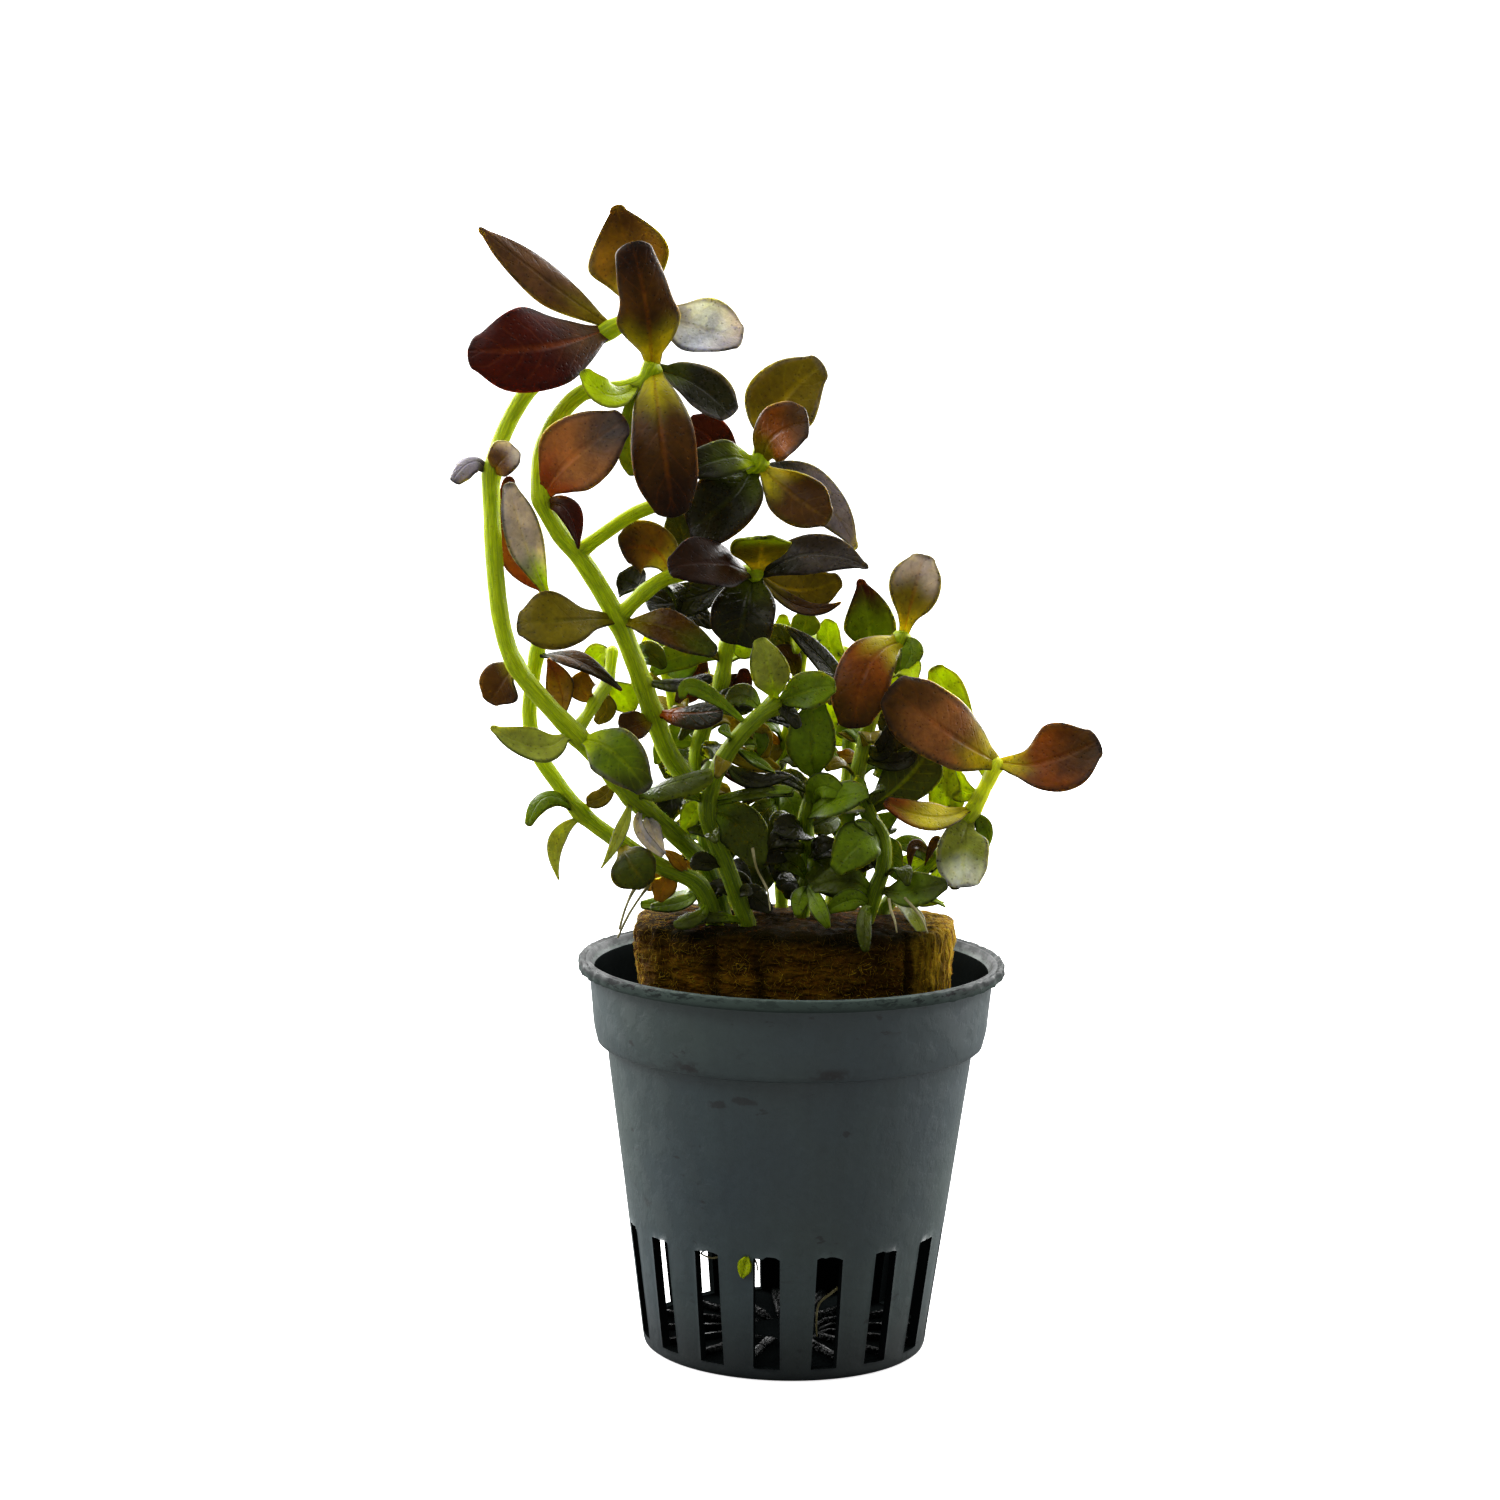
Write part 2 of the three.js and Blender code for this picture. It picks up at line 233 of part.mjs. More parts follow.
// The small leaves that are one with their stem, in the same form as LEAVES but with no name.
const LEAFLETS = [
  ['stem_left', [-38.5, 110.7], [-41, 112, -6.3], [-43.4, 109.5, -6.8], 3.3, 'tongue',
    [0, -0.6, 0.8], -0.3, 'silver'],
  ['stem_left', [-38.4, 110.9], [-37.2, 112.4, -7.5], [-35.6, 114, -7.5], 4.2, 'tongue',
    [0, -0.95, 0.2], 0.15, 'silver'],
  ['stem_left', [-35.3, 86.7], [-37, 84.4, -6.5], [-38.6, 81.8, -6], 5.8, 'oval',
    [0, -0.9, 0.4], 0.1, 'umber'],
  ['stem_left', [-20.6, 70.3], [-22, 65.4, -12.5], [-24.3, 61, -12.5], 1.7, 'spear',
    [0, -1, 0.1], 0.1, 'pale'],
  ['stem_left', [-18.5, 68.8], [-17.8, 65.8, -10.5], [-16.2, 63, -11], 2.4, 'spear',
    [0.3, -0.9, 0.2], 0.1, 'silver'],
  ['stem_left', [-22.6, 72.4], [-24.2, 70.2, -7.5], [-26.3, 69.5, -7], 2.4, 'tongue',
    [0, -0.9, 0.4], 0.1, 'olive'],
  ['stem_main', [-20.4, 122.1], [-24, 120.6, -7.5], [-27.3, 123.7, -8], 4.2, 'oval',
    [0, -0.8, 0.6], 0.2, 'lime'],
  ['stem_main', [-20.6, 121.8], [-21.4, 115.5, -6], [-20.6, 110.8, -6], 3, 'tongue',
    [0, -1, 0.1], 0.1, 'leaf'],
  ['stem_main', [-32, 107.4], [-28.9, 106, -8.5], [-27.6, 101.4, -9], 3.4, 'spear',
    [0.5, -0.8, 0.2], 0.2, 'wine'],
  ['stem_far_left', [-27, 68.2], [-31.3, 69.9, -8.5], [-33.6, 66.2, -9], 3, 'oval',
    [0, -0.6, 0.8], -0.2, 'leaf'],
  ['stem_far_left', [-26.6, 67.8], [-30, 64.2, -7], [-29.6, 59.4, -7], 2.2, 'spear',
    [0, -1, 0.1], 0.1, 'pale'],
  ['stem_far_left', [-12, 59.2], [-15.6, 57, -6], [-19.3, 56.4, -6], 2.4, 'tongue',
    [0, -0.6, 0.8], 0.1, 'leaf'],
  ['stem_far_left', [-10, 57.4], [-12.2, 55, -12.6], [-15, 54.1, -13], 2.2, 'tongue',
    [0, -0.7, 0.7], -0.2, 'moss'],
  ['stem_main', [-17.8, 80.2], [-20.3, 79.4, -6.5], [-22, 78.6, -7], 4, 'tongue',
    [0, -0.9, 0.4], 0.1, 'silver'],
  ['stem_main', [-19.4, 84.6], [-14, 84.8, -6], [-10.7, 85.7, -6], 2.4, 'tongue',
    [0, -0.7, 0.7], -0.3, 'ink'],
  ['stem_main', [-13.2, 71.8], [-16, 69.6, -4.5], [-17.4, 65.6, -5], 3.4, 'oval',
    [0, -1, 0.1], 0.1, 'ink'],
  ['shoot_left_low', [-25.4, 82], [-26.9, 84, -6.6], [-26.5, 86.3, -5.6], 3.8, 'rhomb',
    [0, -1, 0.1], 0.1, 'amber'],
  ['shoot_left_low', [-24.4, 83.8], [-23.9, 81.5, -3.4], [-25.2, 79.6, -2.6], 2.8, 'oval',
    [0, -1, 0.1], 0.1, 'olive'],
  ['shoot_left_low', [-23.2, 88.6], [-25, 88, 0], [-26.2, 86, 0.5], 3.4, 'oval',
    [0, -1, 0.1], 0.1, 'lime'],
  ['shoot_left_low', [-23.7, 85], [-21.8, 83, -1], [-20.6, 81, -0.5], 4, 'oval',
    [0, -1, 0.1], 0.1, 'lime'],
  ['shoot_high', [-9, 110.2], [-10.8, 115, 3], [-14.2, 117.2, 3], 5.2, 'tongue',
    [0, -0.9, 0.3], 0.1, 'wine'],
  ['branch_middle', [-13, 98.8], [-14.8, 103.4, -1], [-16, 106.2, -1], 4, 'oval',
    [0, -1, 0.1], 0.1, 'moss'],
  ['branch_middle', [-5.2, 98.6], [0.6, 94.6, -1], [5.4, 95.4, -1], 2.4, 'spear',
    [0, -0.7, 0.7], 0.1, 'umber'],
  ['stem_centre', [-2.8, 82.2], [-1.2, 81.6, -9.5], [0.4, 79.4, -10], 2.2, 'tongue',
    [0, -0.6, 0.8], 0.1, 'ink'],
  ['stem_centre', [-9.2, 75.2], [-5.4, 72.7, -8.5], [-0.3, 73.2, -9], 2.6, 'spear',
    [0, -0.7, 0.7], 0.1, 'ink'],
  ['stem_centre', [-10.8, 70], [-4, 71.3, -9], [-0.2, 71.3, -9.5], 1.6, 'tongue',
    [0, -0.7, 0.7], 0.1, 'leaf'],
  ['stem_centre', [-10.9, 69], [-6.8, 66.6, -9], [-4.4, 61.6, -9], 6, 'oval',
    [0, -0.95, 0.3], 0.1, 'moss'],
  ['stem_centre_tall', [-11.9, 77.4], [-6, 75.4, 0], [-2, 74, 0], 2.8, 'oval',
    [0, -0.9, 0.4], 0.1, 'olive'],
  ['stem_centre_tall', [-10.8, 81.4], [-7.6, 82.4, -1], [-5.2, 82.3, -1.5], 3.2, 'tongue',
    [0, -1, 0.1], 0.1, 'moss'],
  ['stem_centre_tall', [-8.8, 90], [-6.6, 89.5, 2], [-5, 91.4, 2], 3, 'oval',
    [0, -1, 0.1], 0.1, 'lime'],
  ['stem_centre_tall', [-9.4, 85.4], [-7.6, 84.9, 3], [-6, 83.4, 3.5], 2.6, 'spear',
    [0, -1, 0.1], 0.1, 'wine'],
  ['stem_back_middle', [-1.5, 77], [-4.1, 77.5, 8], [-6, 75.6, 8], 3.4, 'oval',
    [0, -1, 0.1], 0.1, 'amber'],
  ['stem_centre', [-2.7, 82.3], [1.4, 84.2, -9.5], [4.9, 84.8, -9], 5, 'oval',
    [0, -0.9, 0.4], 0.1, 'leaf'],
  ['stem_back_middle', [0.8, 90.6], [0.9, 92.2, 8], [1.2, 94, 8], 3.8, 'tongue',
    [0, -1, 0.1], 0.1, 'leaf'],
  ['stem_back_middle', [0.2, 86], [-1.6, 89.6, 10.5], [-1.8, 93.8, 11], 3.4, 'oval',
    [0, -1, 0.1], 0.1, 'lime'],
  ['stem_back_right', [7.4, 83], [3, 88.2, 3.5], [-1.7, 92.3, 2.5], 3.4, 'spear',
    [0.3, -0.8, 0.5], 0.1, 'ink'],
  ['stem_back_right', [7.6, 83.6], [4.3, 89.4, 11], [4.2, 93.2, 11.5], 3.2, 'tongue',
    [0, -1, 0.1], 0.1, 'lime'],
  ['stem_back_right', [6.8, 77], [4.4, 79.4, 12], [4.3, 83.4, 12.5], 3, 'oval',
    [0, -1, 0.1], 0.1, 'lime'],
  ['stem_back_left', [-16.6, 86.8], [-16, 89, 7.5], [-13.7, 90, 7], 3.6, 'tongue',
    [0, -1, 0.1], 0.1, 'leaf'],
  ['stem_back_left', [-15.3, 82], [-13.2, 84.5, 7], [-11.6, 87.8, 7], 3.4, 'oval',
    [0, -1, 0.1], 0.1, 'wine'],
  ['stem_back_left', [-10.2, 63], [-14.6, 61.2, 7], [-18.6, 58.4, 6], 3, 'oval',
    [0, -0.9, 0.4], 0.1, 'amber'],
  ['stem_middle_right', [1.5, 68], [5.4, 70.4, -7.5], [9.4, 71.3, -8.5], 4.6, 'oval',
    [0, -0.8, 0.6], 0.1, 'leaf'],
  ['stem_middle_right', [1.8, 65], [0.4, 66.6, -8], [-2.6, 66.8, -9], 3.8, 'tongue',
    [0, -0.8, 0.6], 0.15, 'ink'],
  ['stem_middle_right', [1.8, 63.4], [4.6, 61.2, -6], [6.8, 57.8, -6.5], 6, 'oval',
    [0, -0.9, 0.4], 0.1, 'moss'],
  ['stem_middle_right', [1.6, 59], [1, 57.6, -9], [0.6, 55.4, -11], 2.4, 'oval',
    [0, -1, 0.1], 0.1, 'leaf'],
  ['stem_middle_right', [1.7, 59.4], [3.2, 56.8, -11.5], [4.6, 53.9, -13.5], 2.2, 'oval',
    [0, -1, 0.1], 0.1, 'leaf'],
  ['stem_right_tall', [11.2, 66.6], [8.4, 65, -8.5], [5.2, 61.2, -9.5], 5.8, 'oval',
    [0, -0.95, 0.3], 0.1, 'leaf'],
  ['stem_right_tall', [9.6, 57], [9.1, 55, -13.5], [9.4, 50.9, -16], 1.9, 'tongue',
    [0, -1, 0.1], 0.1, 'moss'],
  ['stem_right_tall', [13.2, 91.2], [14.3, 89.2, -1.5], [12.8, 86.3, -2], 3, 'spear',
    [0, -1, 0.1], 0.1, 'leaf'],
  ['stem_right_tall', [10.2, 83.4], [12.9, 78.8, 1.5], [15.4, 76.2, 1.5], 4.2, 'tongue',
    [0, -0.95, 0.2], 0.2, 'ink'],
  ['stem_right', [18.3, 63.8], [14.2, 62.2, 2], [12.2, 60.8, 1], 2.4, 'oval',
    [0, -1, 0.1], 0.1, 'lime'],
  ['stem_right', [23.4, 71.4], [20.3, 72.4, 3.5], [19, 75, 4], 3.6, 'tongue',
    [0, -1, 0.1], 0.1, 'lime'],
  ['stem_right', [22.6, 69.4], [24.1, 67, 2], [24.6, 64.7, 2], 2.2, 'spear',
    [0, -1, 0.1], 0.1, 'leaf'],
  ['stem_right', [13.6, 58.8], [16.1, 57.8, 7], [19.2, 57.5, 7], 2, 'spear',
    [0, -0.9, 0.4], 0.1, 'leaf'],
  ['stem_right', [24.4, 73.4], [20, 82, 5.5], [17.2, 87.6, 6], 4.8, 'spoon',
    [0, -1, 0.1], 0.1, 'lime'],
];

const COLOURS = {
  pot: 0x3c4448,
  plug: 0x6b4a17,
  stem: 0x8fae1c,
  umber: 0x3a2412,
  wine: 0x3d120c,
  amber: 0x7a5510,
  rust: 0x5c3418,
  olive: 0x565010,
  slate: 0x43393b,
  silver: 0x8f8a84,
  moss: 0x26300e,
  ink: 0x15130c,
  leaf: 0x3f5f10,
  lime: 0x9bae22,
  pale: 0x90944a,
};

// A closed skin over a row of rings with equal numbers of corners. The first ring is capped,
// and the skin ends in a point where one is given and in a cap where none is.
function loft(rings, point) {
  const corners = rings[0].length;
  const places = rings.flat();
  const faces = [];
  for (let corner = 2; corner < corners; corner += 1) {
    faces.push(1, (corner + 1) % corners, corner);
  }
  for (let first = 0; first + corners < places.length; first += corners) {
    for (let corner = 0; corner < corners; corner += 1) {
      const here = first + corner;
      const beside = first + (corner + 1) % corners;
      faces.push(here, beside, beside + corners, here, beside + corners, here + corners);
    }
  }
  const last = places.length - corners;
  if (point) {
    places.push(point);
    for (let corner = 0; corner < corners; corner += 1) {
      faces.push(last + corner, last + (corner + 1) % corners, last + corners);
    }
  } else {
    for (let corner = 2; corner < corners; corner += 1) {
      faces.push(last + 1, last + corner, last + (corner + 1) % corners);
    }
  }
  return facingOut(places, faces);
}

// Turns the faces of a closed mesh round when they enclose a negative volume.
function facingOut(places, faces) {
  let volume = 0;
  const normal = new THREE.Vector3();
  for (let face = 0; face < faces.length; face += 3) {
    normal.crossVectors(places[faces[face + 1]], places[faces[face + 2]]);
    volume += places[faces[face]].dot(normal);
  }
  const geometry = new THREE.BufferGeometry().setFromPoints(places);
  geometry.setIndex(volume > 0 ? faces : faces.toReversed());
  return geometry;
}

// A closed geometry as a solid that can be joined and cut.
function solid(geometry) {
  const bare = geometry.clone();
  bare.deleteAttribute('normal');
  bare.deleteAttribute('uv');
  const merged = mergeVertices(bare);
  const corners = merged.index.array;
  const kept = [];
  for (let face = 0; face < corners.length; face += 3) {
    const [a, b, c] = corners.slice(face, face + 3);
    if (a !== b && b !== c && c !== a) {
      kept.push(a, b, c);
    }
  }
  return new wasm.Manifold(new wasm.Mesh({
    numProp: 3,
    vertProperties: merged.attributes.position.array,
    triVerts: new Uint32Array(kept),
  }));
}

function shapeOf(manifold) {
  const mesh = manifold.getMesh();
  const geometry = new THREE.BufferGeometry();
  geometry.setAttribute('position', new THREE.BufferAttribute(mesh.vertProperties, 3));
  geometry.setIndex(new THREE.BufferAttribute(mesh.triVerts, 1));
  return geometry;
}

function piece(name, geometry, colour, roughness) {
  const material = new THREE.MeshStandardMaterial({ color: COLOURS[colour], roughness, metalness: 0 });
  const mesh = new THREE.Mesh(geometry, material);
  mesh.name = name;
  return mesh;
}

// The pot's wall, ledge, collar and rim, turned about its axis.
function potBody() {
  const outside = [
    [0, 0],
    [FOOT_RADIUS - FOOT_ROUNDING, 0],
    [FOOT_RADIUS, FOOT_ROUNDING],
    [WALL_TOP_RADIUS, LEDGE_HEIGHT],
    [LEDGE_OUTER_RADIUS, LEDGE_HEIGHT],
    [COLLAR_FOOT_RADIUS, COLLAR_FOOT_HEIGHT],
    [COLLAR_TOP_RADIUS, POT_HEIGHT - RIM_THICKNESS],
    [RIM_RADIUS, POT_HEIGHT - RIM_THICKNESS],
    [RIM_RADIUS, POT_HEIGHT],
  ];
  const inside = [
    [RIM_RADIUS - RIM_TOP_WIDTH, POT_HEIGHT],
    [COLLAR_TOP_RADIUS - WALL, POT_HEIGHT - RIM_THICKNESS],
    [COLLAR_FOOT_RADIUS - WALL, COLLAR_FOOT_HEIGHT + WALL],
    [WALL_TOP_RADIUS - WALL, LEDGE_HEIGHT + WALL],
    [FOOT_RADIUS - WALL, FLOOR],
    [0, FLOOR],
  ];
  const profile = [...outside, ...inside].map(([radius, height]) => new THREE.Vector2(radius, height));
  return new THREE.LatheGeometry(profile, POT_FACETS).rotateX(Math.PI / 2);
}

// Turns a geometry that points to -Y at the axis to the given angle, positive to the right.
function turned(geometry, degrees) {
  return geometry.rotateZ(THREE.MathUtils.degToRad(degrees));
}

function slotCutter() {
  const outline = new THREE.Shape();
  outline.moveTo(-SLOT_WIDTH / 2, SLOT_BOTTOM);
  outline.lineTo(SLOT_WIDTH / 2, SLOT_BOTTOM);
  outline.lineTo(SLOT_WIDTH / 2, SLOT_TOP - SLOT_ARCH);
  outline.lineTo(0, SLOT_TOP);
  outline.lineTo(-SLOT_WIDTH / 2, SLOT_TOP - SLOT_ARCH);
  const depth = WALL_TOP_RADIUS - FOOT_RADIUS + 2 * WALL;
  const cutter = new THREE.ExtrudeGeometry(outline, { depth, bevelEnabled: false });
  return cutter.translate(0, 0, FOOT_RADIUS - 2 * WALL).rotateX(Math.PI / 2);
}

function floorRib() {
  const length = FOOT_RADIUS - WALL / 2 - FLOOR_RIB_START;
  const rib = new THREE.BoxGeometry(FLOOR_RIB_WIDTH, length, FLOOR + FLOOR_RIB_HEIGHT - WALL / 2);
  return rib.translate(0, -FLOOR_RIB_START - length / 2, (FLOOR + FLOOR_RIB_HEIGHT + WALL / 2) / 2);
}

function pot() {
  const pitch = 360 / SLOT_COUNT;
  let body = solid(potBody());
  for (let slot = 0; slot < SLOT_COUNT; slot += 1) {
    body = body.subtract(solid(turned(slotCutter(), FIRST_SLOT_DEGREES + slot * pitch)));
  }
  for (let rib = 0; rib < SLOT_COUNT; rib += 1) {
    body = body.add(solid(turned(floorRib(), FIRST_SLOT_DEGREES + (rib + 0.5) * pitch)));
  }
  return piece('pot', shapeOf(body), 'pot', 0.45);
}

// The rockwool strip is folded into a plug that is wider than deep. Its outline is a rounded
// block with soft folds and one seam, where the strip's end laps over the turn below it.
function plugOutline(degrees, halfWidth) {
  const angle = THREE.MathUtils.degToRad(degrees);
  const folds = PLUG_FOLD * Math.sin(5 * angle + 1) + PLUG_SMALL_FOLD * Math.sin(9 * angle);
  const past = THREE.MathUtils.euclideanModulo(degrees - PLUG_SEAM_DEGREES, 360);
  const power = 2 / PLUG_SQUARENESS;
  const across = Math.sign(Math.sin(angle)) * Math.abs(Math.sin(angle)) ** power;
  const towards = Math.sign(Math.cos(angle)) * Math.abs(Math.cos(angle)) ** power;
  const reach = halfWidth + folds - PLUG_SEAM_STEP * past / 360;
  return [reach * across, -reach * PLUG_DEPTH_SHARE * towards];
}

function plug() {
  const slope = (PLUG_TOP_HALF_WIDTH - PLUG_BOTTOM_HALF_WIDTH) / (PLUG_TOP - PLUG_BOTTOM);
  const levels = [
    [PLUG_BOTTOM, PLUG_ROUNDING],
    [PLUG_BOTTOM + PLUG_ROUNDING, 0],
    [(PLUG_BOTTOM + PLUG_TOP) / 2, 0],
    [PLUG_TOP - 3 * PLUG_ROUNDING, 0],
    [PLUG_TOP - PLUG_ROUNDING, 0.2 * PLUG_ROUNDING],
    [PLUG_TOP - 0.2 * PLUG_ROUNDING, PLUG_ROUNDING],
  ];
  const rings = levels.map(([height, drawnIn]) => {
    const halfWidth = PLUG_BOTTOM_HALF_WIDTH + slope * (height - PLUG_BOTTOM) - drawnIn;
    return Array.from({ length: PLUG_CORNERS }, (unused, corner) => {
      const degrees = PLUG_SEAM_DEGREES + (corner + 0.01) * 360 / PLUG_CORNERS;
      const [across, back] = plugOutline(degrees, halfWidth);
      const behind = Math.max(0, back / (PLUG_TOP_HALF_WIDTH * PLUG_DEPTH_SHARE));
      const drop = height > PLUG_TOP - 2 * PLUG_ROUNDING ? PLUG_BACK_DROP * behind : 0;
      return new THREE.Vector3(across, back, height - drop);
    });
  });
  return piece('rockwool_plug', loft(rings, new THREE.Vector3(0, 0, PLUG_TOP)), 'plug', 0.95);
}

function stemCurve([, , , foot, places]) {
  const points = places.map(seen);
  if (foot) {
    points.unshift(onPlug(foot));
  }
  return new THREE.CatmullRomCurve3(points, false, 'centripetal');
}

function stemTube(row) {
  const [, footRadius, tipRadius] = row;
  const curve = stemCurve(row);
  const steps = Math.max(3, Math.round(curve.getLength() / STEM_STEP));
  const frames = curve.computeFrenetFrames(steps, false);
  const rings = [];
  for (let step = 0; step <= steps; step += 1) {
    const centre = curve.getPointAt(step / steps);
    const radius = THREE.MathUtils.lerp(footRadius, tipRadius, step / steps);
    const ring = [];
    for (let side = 0; side < STEM_SIDES; side += 1) {
      const angle = 2 * Math.PI * side / STEM_SIDES;
      ring.push(centre.clone()
        .addScaledVector(frames.normals[step], radius * Math.cos(angle))
        .addScaledVector(frames.binormals[step], radius * Math.sin(angle)));
    }
    rings.push(ring);
  }
  if (row[3]) {
    for (const corner of rings[0]) {
      corner.z = PLUG_TOP + GAP;
    }
  }
  return loft(rings);
}

// The point of a stem's centre line that appears nearest to the given place, and the radius there.
function leaving(row, [across, up]) {
  const [, footRadius, tipRadius] = row;
  const place = new THREE.Vector2(across, up);
  const curve = stemCurve(row);
  const samples = 200;
  const distances = curve.getSpacedPoints(samples).map((point) => appears(point).distanceTo(place));
  const share = distances.indexOf(Math.min(...distances)) / samples;
  return { point: curve.getPointAt(share), radius: THREE.MathUtils.lerp(footRadius, tipRadius, share) };
}

// A leaf blade from base through its bend to its tip, with a lens-shaped section.
function blade(base, bend, tip, width, outline, face, lift, thickness) {
  const handle = bend.clone().multiplyScalar(2).addScaledVector(base, -0.5).addScaledVector(tip, -0.5);
  const midrib = new THREE.QuadraticBezierCurve3(base, handle, tip);
  const towards = new THREE.Vector3(...face);
  const rings = OUTLINES[outline].map(([along, share]) => {
    const centre = midrib.getPoint(along);
    const ahead = midrib.getTangent(along);
    const side = new THREE.Vector3().crossVectors(ahead, towards).normalize();
    const normal = new THREE.Vector3().crossVectors(side, ahead);
    const reach = share * width / 2;
    const half = thickness / 2 * Math.min(1, THINNEST_SHARE + share);
    return [
      centre.clone().addScaledVector(side, -reach).addScaledVector(normal, lift * reach),
      centre.clone().addScaledVector(normal, half),
      centre.clone().addScaledVector(side, reach).addScaledVector(normal, lift * reach),
      centre.clone().addScaledVector(normal, -half),
    ];
  });
  return loft(rings, tip);
}

function leaf([name, stem, place, bend, tip, width, outline, face, lift, colour]) {
  const { point, radius } = leaving(STEMS.find((row) => row[0] === stem), place);
  const bendPoint = seen(bend);
  const away = bendPoint.clone().sub(point).normalize();
  const base = point.clone().addScaledVector(away, radius + 2 * GAP);
  const geometry = blade(base, bendPoint, seen(tip), width, outline, face, lift, LEAF_THICKNESS);
  return piece(name, geometry, colour, 0.5);
}

function stem(row) {
  const [name] = row;
  let body = solid(stemTube(row));
  for (const [carrier, place, bend, tip, width, outline, face, lift] of LEAFLETS) {
    if (carrier === name) {
      const { point } = leaving(row, place);
      body = body.add(solid(
        blade(point, seen(bend), seen(tip), width, outline, face, lift, LEAFLET_THICKNESS)));
    }
  }
  return piece(name, shapeOf(body), 'stem', 0.5);
}

const plant = new THREE.Group();
plant.add(pot(), plug());
for (const row of STEMS) {
  plant.add(stem(row));
}
for (const row of LEAVES) {
  plant.add(leaf(row));
}

export default plant;
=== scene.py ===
import json
import math

import bpy
import numpy as np
from mathutils import Matrix, Vector, noise


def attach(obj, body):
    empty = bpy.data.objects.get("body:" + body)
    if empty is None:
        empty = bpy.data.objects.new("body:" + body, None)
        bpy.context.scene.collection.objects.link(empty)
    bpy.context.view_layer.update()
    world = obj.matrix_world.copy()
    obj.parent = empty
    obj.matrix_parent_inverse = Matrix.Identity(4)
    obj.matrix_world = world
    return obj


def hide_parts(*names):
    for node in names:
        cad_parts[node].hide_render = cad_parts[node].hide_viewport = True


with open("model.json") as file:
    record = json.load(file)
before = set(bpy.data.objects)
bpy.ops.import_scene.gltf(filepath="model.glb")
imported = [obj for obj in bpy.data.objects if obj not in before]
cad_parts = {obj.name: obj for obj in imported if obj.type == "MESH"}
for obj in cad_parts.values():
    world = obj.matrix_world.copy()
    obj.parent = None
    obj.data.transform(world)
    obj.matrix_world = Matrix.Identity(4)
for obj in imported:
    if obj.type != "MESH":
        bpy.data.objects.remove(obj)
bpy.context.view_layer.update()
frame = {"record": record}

# A potted Bacopa salzmannii: a slotted net pot, a folded rockwool plug, and stems and leaves.
# Tables are in millimetres unless they say so. Everything that is made is in metres, in the frame of
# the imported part.
MM = 0.001
scene = bpy.context.scene

# Pot, in millimetres
SLOTS = 16
FIRST_SLOT = -6.7
SLOT_HALF = 1.65
SLOT_LOW = 1.7
SLOT_HIGH = 16.4
FOOT = 18.1
WALL_RISE = 5.2 / 38.6
WALL_THICK = 1.15
FLOOR_TOP = 1.4

# Plug, in millimetres
PLUG_LOW = 18.5
PLUG_TOP = 55.6
PLUG_HALF = 20.4
PLUG_HALF_LOW = 17.4
PLUG_DEPTH = 0.68
PLUG_SQUARE = 3.2
PLUG_BACK_DROP = 1.2
PLUG_SEAM = 52.0
PLUG_COLUMNS = 300

# The viewer that the plant's places are given for
EYE_DISTANCE = 455
EYE_HEIGHT = 140

# The plant's rows are split at semicolons, and a row's groups of words at commas.

